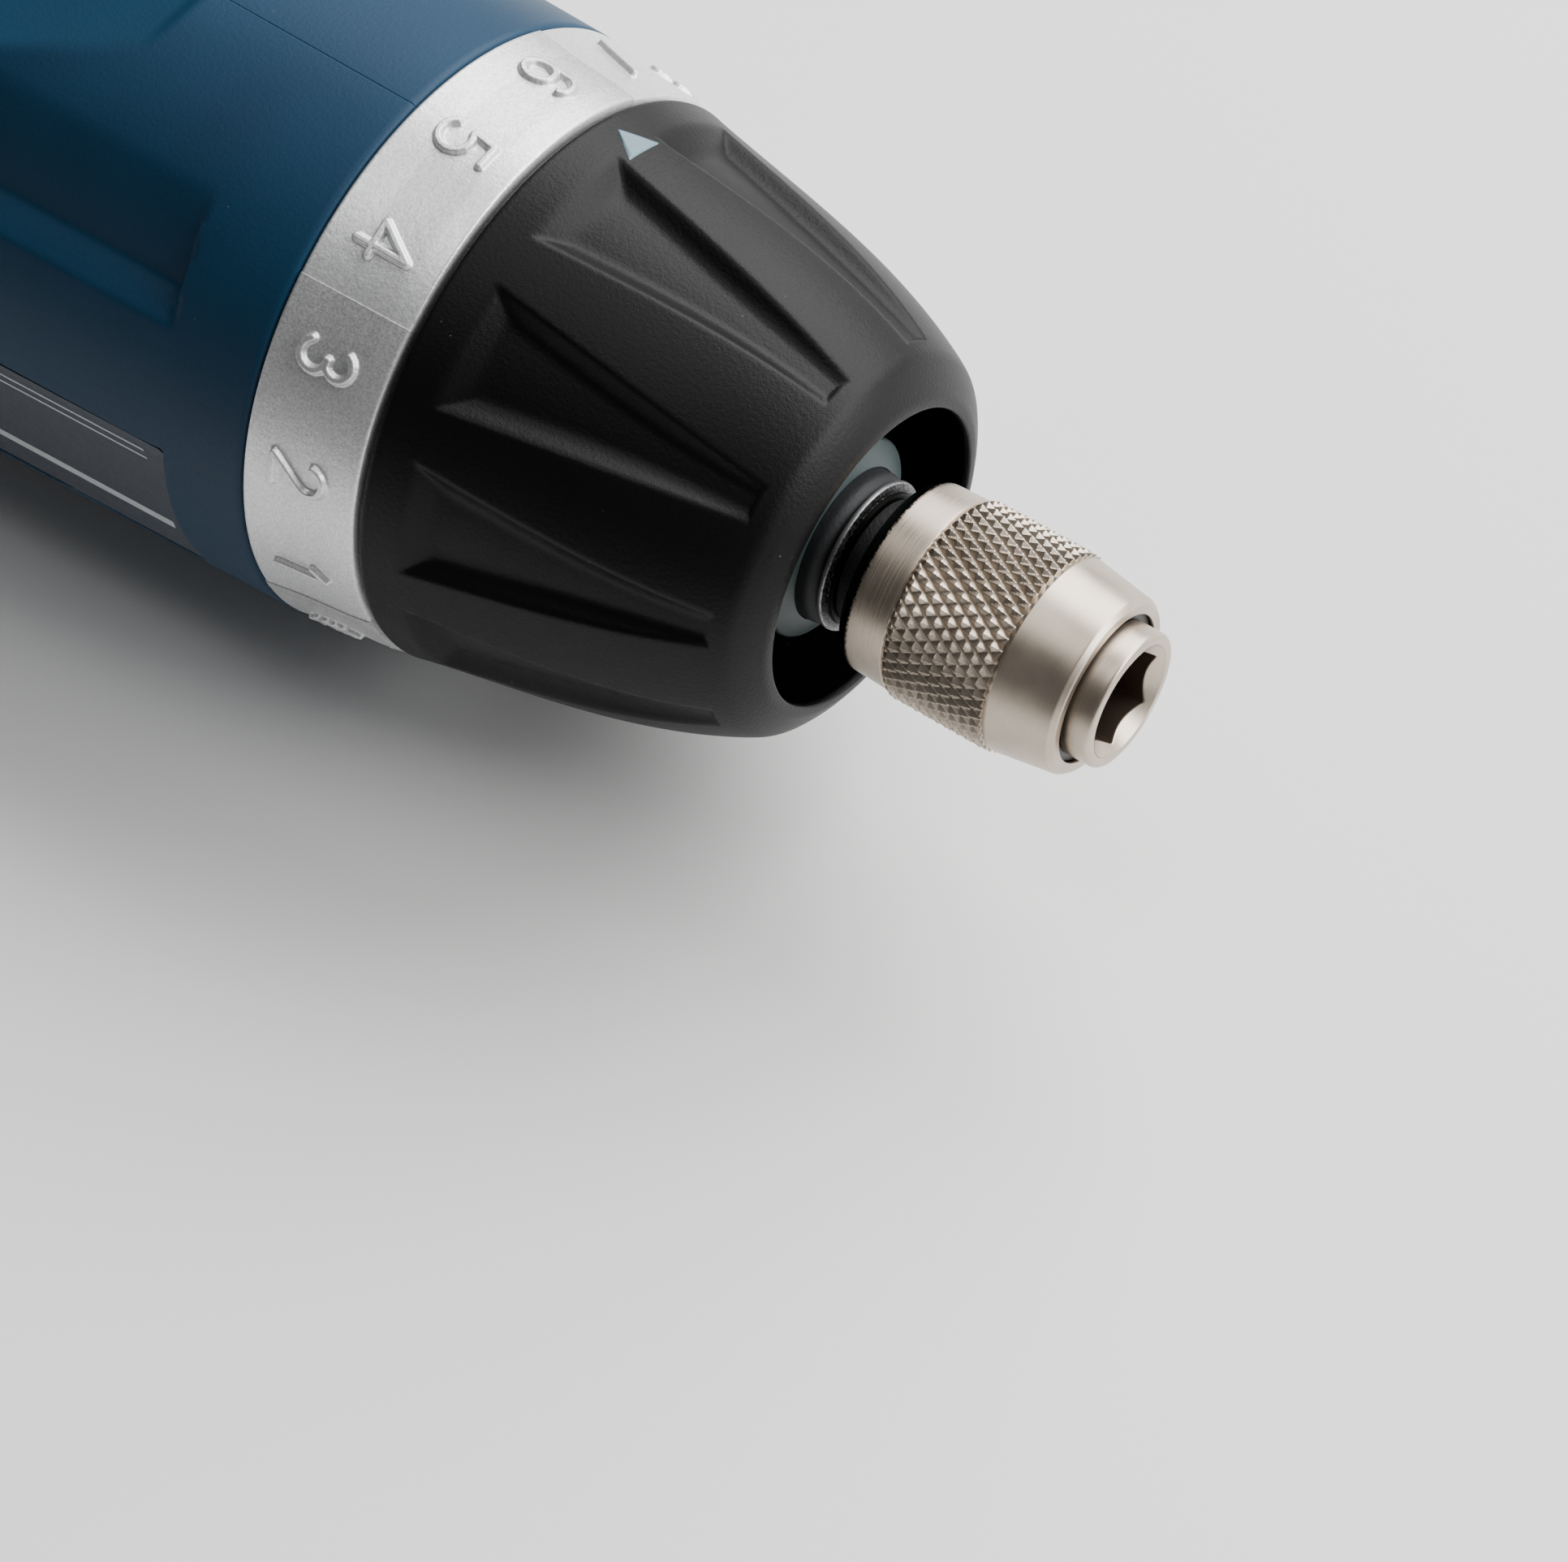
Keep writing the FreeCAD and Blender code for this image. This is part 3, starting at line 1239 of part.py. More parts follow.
# Torque collar
collar_form = turned("collar_form", [
    (size.collar_start, size.case_rim_radius + size.collar_clearance),
    (size.collar_start, size.collar_rear_radius - size.collar_rear_round),
    (size.collar_start + size.collar_rear_round, size.collar_rear_radius, size.collar_rear_round),
    (size.collar_shoulder_at, size.collar_shoulder_radius, size.collar_shoulder_round),
    (size.collar_lip_at, size.collar_lip_radius, size.collar_round),
    (size.collar_end, size.collar_face_radius, size.collar_lip_round),
    (size.collar_end - size.collar_opening_depth, size.collar_opening_radius, size.collar_opening_depth),
    (size.collar_chamber_front_at + size.collar_opening_depth, size.collar_opening_radius),
    (size.collar_chamber_front_at, size.collar_chamber_front),
    (size.collar_web_front, (size.collar_chamber_front + size.collar_chamber_middle) / 2),
    (size.collar_web_front, size.nose_radius + size.collar_clearance),
    (size.collar_web_front - size.collar_web, size.nose_radius + size.collar_clearance),
    (size.collar_web_front - size.collar_web, size.collar_chamber_middle),
    (size.collar_chamber_middle_at, size.collar_chamber_middle),
    (size.case_rim_end + size.gear_gap, size.collar_chamber_radius),
    (size.case_rim_end + size.gear_gap, size.case_rim_radius + size.collar_clearance),
])
key_ribs = keys("collar_keys", size.key_radius, size.collar_chamber_radius + size.key_clearance,
                size.key_width, size.case_rim_end + size.gear_gap, size.collar_web_front - size.collar_web)


def flute_cutter(angle):
    """One tapering flute: a sloping rear wall, a floor that runs out at the lip, and sloping sides."""
    stations = [
        (size.flute_rear, size.collar_rear_radius, size.flute_half_width),
        (size.flute_floor_start, size.flute_floor_radius, size.flute_half_width),
        (size.flute_end, size.flute_end_radius, size.flute_end_half_width),
    ]
    top = size.collar_rear_radius.value + size.casing_wall.value
    wires = []
    for place, floor, half in stations:
        spread = half.value + (top - floor.value) * size.flute_side_slope.value
        corners = [(-half.value, floor.value), (half.value, floor.value), (spread, top), (-spread, top)]
        at = axial(place).value
        loop = [Vector(at, across, height) for across, height in corners]
        wires.append(Part.makePolygon(loop + loop[:1]))
    solid = Part.makeLoft(wires, True, True)
    solid.rotate(Vector(0, 0, 0), Vector(1, 0, 0), angle)
    return solid


flute_pitch = 360.0 / size.flute_count.value
flute_angles = round_about(int(size.flute_count.value), size.flute_land_angle.value + flute_pitch / 2)
flutes = made_of("flutes", Part.makeCompound([flute_cutter(angle) for angle in flute_angles]))
notches = []
for index, angle in enumerate(round_about(int(size.settings.value), size.flute_land_angle.value)):
    across, height = around(click_circle, angle)
    notches.append(rod(f"notch_{index}", size.notch_radius, size.notch_depth, axial(size.collar_start),
                       across, height))
pointer_outline = [
    (size.pointer_tip, 0.0),
    (size.pointer_tip + size.pointer_length, -size.pointer_half_width),
    (size.pointer_tip + size.pointer_length, size.pointer_half_width),
]
pointer_body = doc.addObject("PartDesign::Body", "pointer_prism")
pointer_corners = [(axial(x), y) for x, y in pointer_outline]
pointer_profile = draw(pointer_body, "pointer_profile", pointer_corners, "XY_Plane")
pointer_pad = pointer_body.newObject("PartDesign::Pad", "pointer_pad")
pointer_pad.Profile = pointer_profile
set_sizes(pointer_pad, Length=2 * size.collar_rear_radius)
move_to(pointer_body, turn=Rotation(Vector(1, 0, 0), size.flute_land_angle.value))
pointer_core = tube("pointer_core", size.collar_start, size.collar_shoulder_at + size.pointer_length,
                    0.0, size.collar_shoulder_radius - size.pointer_depth)
collar_fluted = cut("collar_fluted", fuse("collar_with_keys", collar_form, key_ribs), flutes, *notches)
pointer_field = cut("pointer_field", pointer_body, pointer_core)
node("collar_pointer", common("pointer_inlay", pointer_field, collar_form))
node("torque_collar", cut("collar", collar_fluted, pointer_field))
click_front = size.collar_start - size.click_gap
click_web = size.ring_web + size.ring_gap
click_arc = tube("click_arc", click_web, click_web + size.click_thickness, size.case_radius + size.click_play,
                 ring_inner - size.click_play)
half_click = size.front_radius * math.sin(math.radians(size.click_span.value / 2))
click_span = block("click_span", (axial(0.0), -half_click, -2 * size.front_radius),
                   (axial(size.ring_end), half_click, 0.0))
click_nub = rod("click_nub", (ring_inner - size.case_radius) / 2 - size.click_play, click_front - click_web,
                axial(click_web), 0.0, -click_circle)
node("click_spring", fuse("click", common("click_strip", click_arc, click_span), click_nub))

# Spindle, its bush and the retaining ring
bush_front = size.nose_end + size.bush_proud
node("spindle_bush", turned("bush", [
    (size.nose_end - size.bush_length, size.spindle_radius + size.spindle_clearance),
    (size.nose_end - size.bush_length, size.bush_radius - size.fit_clearance),
    (bush_front, size.bush_radius - size.fit_clearance),
    (bush_front + size.bush_tip, size.bush_tip_radius),
    (bush_front + size.bush_tip, size.spindle_radius + size.spindle_clearance),
]))
groove_floor = size.spindle_radius - size.retainer_groove
retainer_front = size.retainer_at + size.retainer_thickness
tip_front = size.body_rear + size.tip_length
node("spindle", turned("drive_spindle", [
    (second_disc_rear, 0.0),
    (second_disc_rear, hub_radius),
    (second_disc_front, hub_radius),
    (second_disc_front, size.spindle_radius),
    (size.retainer_at, size.spindle_radius),
    (size.retainer_at, groove_floor),
    (retainer_front, groove_floor),
    (retainer_front, size.spindle_radius),
    (size.body_rear, size.spindle_radius),
    (size.body_rear, size.tip_radius),
    (tip_front, size.tip_radius),
    (tip_front, 0.0),
]))
node("retaining_ring", turned("retainer", [
    (size.retainer_at + size.fit_clearance, groove_floor + size.fit_clearance),
    (size.retainer_at + size.fit_clearance, size.retainer_radius),
    (retainer_front - size.fit_clearance, size.retainer_radius - size.retainer_chamfer),
    (retainer_front - size.fit_clearance, groove_floor + size.fit_clearance),
]))

# Chuck: a body with a hexagon socket, the sleeve that slides on it, and what holds the bit
flange_front = size.body_rear + size.body_flange
stop_at = size.sleeve_front - size.sleeve_stop
socket_floor = tip_front + size.magnet_height
body_form = turned("chuck_form", [
    (size.body_rear, size.tip_radius + size.fit_clearance),
    (size.body_rear, size.body_flange_radius),
    (flange_front, size.body_flange_radius),
    (flange_front, size.body_radius),
    (stop_at, size.body_radius),
    (stop_at, size.body_radius - size.snap_groove),
    (stop_at + size.snap_thickness + 2 * size.snap_play, size.body_radius - size.snap_groove),
    (stop_at + size.snap_thickness + 2 * size.snap_play, size.body_radius),
    (size.nose_reach - size.body_edge, size.body_radius),
    (size.nose_reach, size.body_radius - size.body_edge),
    (size.nose_reach, 0.0),
    (socket_floor, 0.0),
    (socket_floor, size.tip_radius + size.fit_clearance),
])
socket = doc.addObject("Part::Prism", "socket")
socket.Polygon = 6
set_sizes(socket, Circumradius=size.socket_flats / math.sqrt(3), Height=size.nose_reach - socket_floor)
move_to(socket, axial(socket_floor),
        turn=Rotation(Vector(1, 0, 0), size.socket_angle.value - 180).multiply(ALONG["x"]))
mouth = set_sizes(doc.addObject("Part::Cone", "mouth"),
                  Radius1=size.socket_mouth_radius - size.socket_mouth_depth,
                  Radius2=size.socket_mouth_radius, Height=size.socket_mouth_depth)
move_to(mouth, axial(size.nose_reach - size.socket_mouth_depth), turn=ALONG["x"])
ball_turn = size.socket_angle.value - 30
ball_across, ball_height = around(size.body_radius - size.bit_ball_radius - size.fit_clearance, ball_turn)
ball_hole = made_of("bit_ball_hole", Part.makeCylinder(
    (size.bit_ball_radius + size.sleeve_clearance).value, 2 * size.body_radius.value,
    Vector(axial(size.ball_at).value, 0, 0), polar(1.0, math.radians(ball_turn))))
node("chuck_body", cut("chuck_core", body_form, socket, mouth, ball_hole))
node("chuck_ball", ball("bit_ball", size.bit_ball_radius, axial(size.ball_at), ball_across, ball_height))
magnet_radius = size.tip_radius - size.fit_clearance
node("bit_magnet", rod("magnet_disc", magnet_radius, size.magnet_height, axial(tip_front)))
snap_form = tube("snap_form", stop_at + size.snap_play, stop_at + size.snap_play + size.snap_thickness,
                 size.body_radius - size.snap_groove + size.fit_clearance, size.body_radius + size.snap_proud)
snap_gap = block("snap_gap", (axial(size.sleeve_step_at), -size.body_radius / 3, -2 * size.body_radius),
                 (axial(size.nose_reach), size.body_radius / 3, 0.0))
node("chuck_snap_ring", cut("snap", snap_form, snap_gap))
sleeve_bore = size.body_flange_radius + size.sleeve_clearance
nose_bore = size.body_radius + size.sleeve_clearance
node("chuck_sleeve", turned("sleeve", [
    (size.sleeve_rear, sleeve_bore),
    (size.sleeve_rear, size.sleeve_rear_radius),
    (size.sleeve_rear + size.sleeve_chamfer, size.sleeve_band_radius),
    (size.sleeve_band_end, size.sleeve_band_radius + size.sleeve_step / 2),
    (size.sleeve_band_end, size.sleeve_knurl_radius),
    (size.sleeve_knurl_end, size.sleeve_knurl_radius),
    (size.sleeve_knurl_end + size.sleeve_step, size.sleeve_front_radius),
    (size.sleeve_taper_end, size.sleeve_taper_radius),
    (size.sleeve_front, size.sleeve_front_edge),
    (size.sleeve_front, size.sleeve_stop_radius),
    (stop_at, size.sleeve_stop_radius),
    (stop_at, nose_bore),
    (size.sleeve_step_at, nose_bore),
    (size.sleeve_step_at, sleeve_bore),
]))
chuck_radius = (sleeve_bore + size.body_radius) / 2
chuck_coil, chuck_gap = coil(flange_front + size.spring_seat, size.sleeve_step_at - size.spring_seat,
                             chuck_radius.value, size.chuck_wire.value, size.chuck_spring_turns.value)
print(f"chuck spring: least gap between turns {chuck_gap:.2f} mm")
node("chuck_spring", made_of("chuck_coil", chuck_coil))

doc.recompute()
for thing in doc.Objects:
    if "Invalid" in thing.State or "Error" in thing.State:
        raise RuntimeError(f"{thing.Label} did not recompute: {thing.State}")
for label, thing in nodes.items():
    shape = thing.Shape
    if shape.isNull() or not shape.isValid() or not shape.Solids:
        raise RuntimeError(f"{label} has no sound solid")
os.makedirs("parts", exist_ok=True)
for label, thing in nodes.items():
    thing.Shape.exportStep(os.path.join("parts", label + ".step"))
print(len(nodes), "sub-parts written")
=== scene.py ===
# %% [markdown]
# # An inline cordless screwdriver, dressed for a studio picture
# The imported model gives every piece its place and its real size. This lesson puts finer meshes over the pieces
# that show, gives each surface a finish made of nodes, and sets up the camera and the light.

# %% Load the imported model
import json
import math

import bmesh
import bpy
import numpy as np
from mathutils import Matrix, Vector


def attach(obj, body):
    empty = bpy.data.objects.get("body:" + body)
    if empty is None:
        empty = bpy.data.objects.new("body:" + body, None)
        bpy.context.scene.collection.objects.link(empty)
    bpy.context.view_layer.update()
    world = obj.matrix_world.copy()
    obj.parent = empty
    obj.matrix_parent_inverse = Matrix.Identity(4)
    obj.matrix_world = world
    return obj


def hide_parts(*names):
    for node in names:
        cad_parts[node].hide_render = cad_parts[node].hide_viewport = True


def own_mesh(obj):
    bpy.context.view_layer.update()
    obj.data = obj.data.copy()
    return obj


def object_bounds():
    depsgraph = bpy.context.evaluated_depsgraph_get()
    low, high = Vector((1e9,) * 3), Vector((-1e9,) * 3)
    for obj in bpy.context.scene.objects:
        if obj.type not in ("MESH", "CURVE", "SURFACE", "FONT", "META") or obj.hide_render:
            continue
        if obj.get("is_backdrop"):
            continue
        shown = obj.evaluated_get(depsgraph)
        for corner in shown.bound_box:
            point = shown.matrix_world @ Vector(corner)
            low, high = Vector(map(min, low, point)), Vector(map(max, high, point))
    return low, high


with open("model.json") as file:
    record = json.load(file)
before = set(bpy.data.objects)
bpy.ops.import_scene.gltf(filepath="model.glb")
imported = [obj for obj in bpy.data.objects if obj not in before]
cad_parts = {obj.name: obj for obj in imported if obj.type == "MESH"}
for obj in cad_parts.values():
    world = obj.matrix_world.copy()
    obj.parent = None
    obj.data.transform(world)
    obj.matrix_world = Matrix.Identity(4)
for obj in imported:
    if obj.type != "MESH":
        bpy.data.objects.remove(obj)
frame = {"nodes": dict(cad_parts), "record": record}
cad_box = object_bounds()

MM = 0.001

# %% [markdown]
# ## Camera
# The photograph looks down on the chuck from the right side of the tool. The circles of the ring, the collar and
# the chuck were fitted with a pinhole camera, which gives its place, its three directions and its lens. A camera
# could also be aimed with a constraint, but the three directions keep the roll exactly.

# %% Camera
def placed(name, data):
    """A new object in the scene."""
    made = bpy.data.objects.new(name, data)
    bpy.context.scene.collection.objects.link(made)
    return made


camera_data = bpy.data.cameras.new("camera")
camera_data.sensor_width = 36.0
camera_data.lens = 103.585
camera_data.clip_start = 0.01
camera = placed("camera", camera_data)
right = Vector((0.8003, 0.5964, -0.0611)).normalized()
back = right.cross(Vector((-0.4678, 0.6849, 0.5586))).normalized()
up = back.cross(right)
camera.matrix_world = Matrix.Translation(Vector((93.5, -138.4, 238.9)) * MM) @ Matrix(
    (right, up, back)).transposed().to_4x4()
bpy.context.scene.camera = camera
print("camera", [round(value, 4) for value in camera.location])

# %% [markdown]
# ## Finishes
# A finish is one principled shader whose colour, roughness and bump come from noise at the real scale of the
# surface. Nodes could be laid out one by one, but sums and products of sockets read better as Python expressions,
# so a small class wraps a socket and adds a Math node for each operator.

# %% Sockets that can be added and multiplied
def feed(tree, entry, value):
    """Links a wire to an input, or sets a constant on it."""
    if isinstance(value, Wire):
        tree.links.new(value.socket, entry)
    else:
        entry.default_value = value


class Wire:
    """A node's output. Sums, differences, products and powers add Math nodes."""

    def __init__(self, tree, socket):
        self.tree = tree
        self.socket = socket

    def math(self, operation, *values, clamp=False):
        made = self.tree.nodes.new("ShaderNodeMath")
        made.operation = operation
        made.use_clamp = clamp
        for entry, value in zip(made.inputs, values):
            feed(self.tree, entry, value)
        return Wire(self.tree, made.outputs[0])

    def __add__(self, other):
        return self.math("ADD", self, other)

    def __sub__(self, other):
        return self.math("SUBTRACT", self, other)

    def __mul__(self, other):
        return self.math("MULTIPLY", self, other)

    def __pow__(self, other):
        return self.math("POWER", self, other)

    def __rsub__(self, other):
        return self.math("SUBTRACT", other, self)

    def __rpow__(self, other):
        return self.math("POWER", other, self)

    __radd__ = __add__
    __rmul__ = __mul__

    def clamped(self):
        return self.math("ADD", self, 0.0, clamp=True)

    def over(self, low, high):
        """A mask that rises from 0 at low to 1 at high."""
        return ((self - low) * (1.0 / (high - low))).clamped()

    def between(self, low, high, soft):
        """A mask that is 1 between two values; each edge starts at its value and is as wide as soft."""
        return self.over(low, low + soft) * (1.0 - self.over(high, high + soft))


# %% One material with one way to add any node
class Finish:
    """A material with a principled shader, and the texture coordinates of the part's own frame."""

    def __init__(self, name, **constants):
        self.material = bpy.data.materials.new(name)
        self.material.use_nodes = True
        self.tree = self.material.node_tree
        self.shader = self.tree.nodes["Principled BSDF"]
        for entry, value in constants.items():
            self.shader.inputs[entry.replace("_", " ")].default_value = value
        self.spot = self.node("ShaderNodeTexCoord", output="Object")

    def node(self, kind, settings=None, values=None, output=0):
        """Adds a node: its settings first, then the values or links of its sockets."""
        made = self.tree.nodes.new(kind)
        for name, value in (settings or {}).items():
            setattr(made, name, value)
        for entry, value in (values or {}).items():
            feed(self.tree, made.inputs[entry], value)
        return Wire(self.tree, made.outputs[output])

    def noise(self, per_mm, detail):
        """Noise with a given number of lumps per millimetre."""
        return self.node("ShaderNodeTexNoise", {}, {
            "Vector": self.spot, "Scale": per_mm * 1000, "Detail": detail}, "Fac")

    def axis(self, name):
        return self.node("ShaderNodeSeparateXYZ", {}, {0: self.spot}, name)

    def mix(self, mask, low, high):
        """A colour between two others."""
        return self.node("ShaderNodeMix", {"data_type": "RGBA"}, {0: mask, 6: low, 7: high}, 2)

    def set(self, entry, value):
        feed(self.tree, self.shader.inputs[entry], value)

    def bump(self, height, depth_mm):
        """Lifts the normal by a height field whose full swing is a depth in millimetres."""
        self.set("Normal", self.node("ShaderNodeBump", {}, {
            "Strength": 1.0, "Distance": depth_mm * MM, "Height": height}, "Normal"))


def colour(red, green, blue):
    """A colour from the 0 to 255 values that a screen shows, as linear light."""
    return tuple(((value / 255 + 0.055) / 1.055) ** 2.4 if value > 10 else value / 255 / 12.92
                 for value in (red, green, blue)) + (1.0,)


# %% [markdown]
# ## Moulded plastics
# Casing, collar, rocker and tail are moulded with a spark-eroded grain: lumps of about a third of a millimetre
# and a few hundredths deep. The grain is far too small to model, so it is a bump, and the colour drifts a little
# over some centimetres, as it does where hands have polished it. Finishes are kept by the record's slots.

# %% Plastic finishes
def moulded(name, low, high, rough, lumps_per_mm, depth_mm, specular=0.5, dust=0.0):
    """A grained plastic between two colours, with specks of dust where hands leave them."""
    made = Finish(name, Specular_IOR_Level=specular)
    drift = made.noise(0.05, 3.0)
    grain = made.noise(lumps_per_mm, 3.0)
    fine = made.noise(lumps_per_mm * 3.1, 1.0)
    base = made.mix(drift.over(0.3, 0.7), colour(*low), colour(*high))
    if dust:
        specks = made.noise(2.6, 1.0).over(0.80, 0.84) * made.noise(0.3, 1.0).over(0.45, 0.6)
        base = made.mix(specks * dust, base, colour(130, 130, 126))
    made.set("Base Color", base)
    made.set("Roughness", rough + (fine - 0.5) * 0.16 + (drift - 0.5) * 0.12)
    made.bump(grain * 0.7 + fine * 0.3, depth_mm)
    return made.material


PLASTICS = {
    "casing_plastic": ("casing_grain", (10, 44, 67), (14, 52, 77), 0.5, 3.2, 0.022, 0.22, 0.25),
    "collar_black": ("collar_grain", (4, 4, 5), (7, 7, 8), 0.44, 3.6, 0.04, 0.17, 0.5),
    "switch_black": ("switch_grain", (12, 12, 14), (18, 18, 20), 0.5, 3.0, 0.03, 0.25),
    "pale_plastic": ("pale_plastic", (39, 53, 54), (49, 62, 62), 0.5, 2.0, 0.01),
    "pointer_pale": ("pointer_plastic", (84, 112, 124), (102, 128, 139), 0.45, 2.5, 0.03),
    "dark_bush": ("bush_grain", (26, 27, 29), (40, 41, 43), 0.62, 4.0, 0.04, 0.4),
    "grip_rubber": ("grip_rubber", (20, 20, 21), (28, 28, 29), 0.72, 4.5, 0.05, 0.3),
    "board_green": ("board_lacquer", (10, 66, 38), (18, 84, 48), 0.35, 1.0, 0.01),
    "cell_wrap": ("cell_wrap", (34, 92, 142), (40, 104, 156), 0.3, 0.6, 0.01),
    "lead_red": ("lead_sleeve", (160, 26, 22), (178, 34, 28), 0.45, 1.2, 0.01),
    "light_pipe": ("light_pipe", (206, 214, 206), (222, 228, 220), 0.25, 1.5, 0.01),
    "grease": ("greased_steel", (7, 7, 7), (16, 15, 14), 0.6, 5.0, 0.07, 0.45, 0.9),
}
finishes = {slot: moulded(*values) for slot, values in PLASTICS.items()}
print("plastics", len(finishes))

# %% [markdown]
# ## Metals
# Turned and ground metal carries fine rings round its axis, and its gloss changes with them. The rings are noise
# of the place along the axis alone. Painted shade darkens the lower parts of the knurl, the socket's hexagon is
# darker, and a stretch of the chuck behind the sleeve and one of the bright ring are darkened almost to black.
# Places along the axis are counted from the casing's front edge, 56.1 mm behind the chuck's face, where the
# model's own frame starts.

# %% Metal finishes
REACH = 56.1
KNURL_START, KNURL_STOP = 41.4, 49.3


def own(along):
    """A place along the axis in the model's own frame, in metres."""
    return (along - REACH) * MM


def turned_metal(name, low, high, rough, rings=0.3, depth_mm=0.004, crest_mm=None, darkened_mm=None):
    """A turned metal between two colours, with painted shade below a knurl's crests and darker over a stretch."""
    made = Finish(name, Metallic=1.0)
    along = made.axis("X")
    lines = made.node("ShaderNodeTexNoise", {"noise_dimensions": "1D"}, {
        "W": along, "Scale": 14000.0, "Detail": 3.0}, "Fac")
    cloud = made.noise(0.35, 4.0)
    pits = made.noise(6.0, 2.0)
    tint = made.mix((cloud * 0.6 + lines * 0.4).over(0.3, 0.7), colour(*low), colour(*high))
    if crest_mm:
        across = made.axis("Y")
        height = made.axis("Z")
        radius = (across * across + height * height) ** 0.5
        # painted shade: the grooves of the knurl below its crests are darkened
        painted_groove_shade = 1.0 - radius.over((crest_mm - 0.36) * MM, (crest_mm - 0.12) * MM)
        ahead = 1.0 - along.over(own(KNURL_START - 0.2), own(KNURL_START))
        knurled = 1.0 - ahead - along.over(own(KNURL_STOP), own(KNURL_STOP + 0.2))
        tint = made.mix(painted_groove_shade * knurled * 0.15, tint, colour(96, 86, 74))
        # the hexagon walls inside the socket are given a darker colour
        past_cone = (radius - along).over(4.12 * MM, 4.22 * MM)
        hole = past_cone * (1.0 - radius.over(3.7 * MM, 3.8 * MM))
        tint = made.mix(hole, tint, colour(112, 98, 86))
        lines = 0.5 + (lines - 0.5) * (0.35 + ahead * 2.0)
    # a stretch along the axis is darkened almost to black
    if darkened_mm:
        start, stop = (own(place - 0.1) for place in darkened_mm)
        blurred = along + (pits - 0.5) * 0.4 * MM
        tint = made.mix(blurred.between(start, stop, 0.2 * MM), tint, colour(12, 11, 10))
    made.set("Base Color", tint)
    made.set("Roughness", rough + (lines - 0.5) * rings + (cloud - 0.5) * 0.14)
    made.bump(lines * 0.7 + pits * 0.3, depth_mm)
    return made.material


METALS = {
    "nickel": ("satin_nickel", (172, 159, 144), (200, 187, 172), 0.38, 0.3, 0.004, 7.42, (37.0, 38.45)),
    "bright_steel": ("bright_steel", (142, 142, 143), (172, 172, 173), 0.46, 0.12, 0.003, None, (35.34, 36.5)),
    "dark_steel": ("black_steel", (38, 37, 36), (58, 56, 54), 0.42),
    "spring_steel": ("spring_steel", (120, 120, 122), (150, 150, 152), 0.32),
    "iron_dark": ("sintered_iron", (70, 69, 68), (92, 91, 89), 0.55, 0.2, 0.01),
    "copper": ("enamelled_copper", (184, 104, 62), (204, 124, 76), 0.3),
    "brass": ("turned_brass", (196, 160, 88), (216, 184, 112), 0.28),
}
finishes.update({slot: turned_metal(*values) for slot, values in METALS.items()})
print("plastics and metals", len(finishes))

# %% [markdown]
# ## Finishes of the record's slots
# Every CAD node starts with the finish of its slot. Pieces made below use the same finishes. The ring's silver and
# the plate's print come with their own pieces, so their CAD nodes, which no one sees, borrow a metal.

# %% Give the CAD nodes their finishes
finishes["silver_ring"] = finishes["bright_steel"]
finishes["slate_plate"] = finishes["iron_dark"]
node_slot = {entry["node"]: entry["material_slot"] for entry in frame["record"]["subparts"]}
for name, thing in frame["nodes"].items():
    thing.data.materials.clear()
    thing.data.materials.append(finishes[node_slot[name]])
print("CAD nodes finished", len(node_slot))

# %% [markdown]
# ## Meshes round one axis
# Nearly every piece that shows is round, so its points are easiest to state as a place along the drive axis, a
# radius and an angle from the seam on top. A lathe tool could spin an outline, but a grid of radii can also hold
# flutes, numbers and a knurl.

# %% Points and meshes
def metres(along, across, up):
    """Points in metres from places, widths and heights in millimetres."""
    return np.stack(np.broadcast_arrays(along - REACH, across, up), axis=-1) * MM


def points_at(along, radius, turn):
    """Points from places, radii and angles in degrees from the seam towards -Y."""
    angle = np.radians(turn)
    return metres(along, -radius * np.sin(angle), radius * np.cos(angle))


def full_turn(count):
    """Angles in degrees, shared out evenly."""
    return np.arange(count) * 360.0 / count


def grid_faces(shape, first=0, closed=(False, False)):
    """Faces of a grid whose points are numbered from a first one; rows and columns can close on themselves."""
    rows, columns = shape[:2]
    row = np.arange(rows - 1 + closed[0])[:, None]
    column = np.arange(columns - 1 + closed[1])
    after, beside = (row + 1) % rows, (column + 1) % columns
    corners = [row * columns + column, row * columns + beside, after * columns + beside, after * columns + column]
    return first + np.stack(np.broadcast_arrays(*corners), axis=-1).reshape(-1, 4)


def piece(name, points, body, slot, stands_for=(), faces=None, crease=50.0, finish=None):
    """A mesh that rides on a body and stands for CAD nodes; without faces, its points are a closed grid."""
    if faces is None:
        faces = grid_faces(points.shape, closed=(True, True))
    mesh = bpy.data.meshes.new(name)
    mesh.from_pydata(np.reshape(points, (-1, 3)).tolist(), [], [tuple(face) for face in faces])
    made = placed(name, mesh)
    tidy(mesh, crease)
    mesh.materials.append(finishes[finish or slot])
    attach(made, body)
    if stands_for:
        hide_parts(*stands_for)
    print(name, len(mesh.polygons), "faces")
    return made


def soften(mesh, crease):
    """Smooth shading, but for edges sharper than an angle."""
    mesh.shade_smooth()
    mesh.set_sharp_from_angle(angle=math.radians(crease))


def tidy(mesh, crease):
    """Merges doubled points, turns the faces outwards and softens the shading."""
    work = bmesh.new()
    work.from_mesh(mesh)
    bmesh.ops.remove_doubles(work, verts=work.verts, dist=1e-7)
    bmesh.ops.recalc_face_normals(work, faces=work.faces)
    work.to_mesh(mesh)
    work.free()
    soften(mesh, crease)


# %% [markdown]
# ## Outlines with rounded corners
# A turned piece is a closed outline carried round the axis. Real edges are never sharp, so each corner is replaced
# by a small arc, and long runs are cut into steps to keep the shading even.

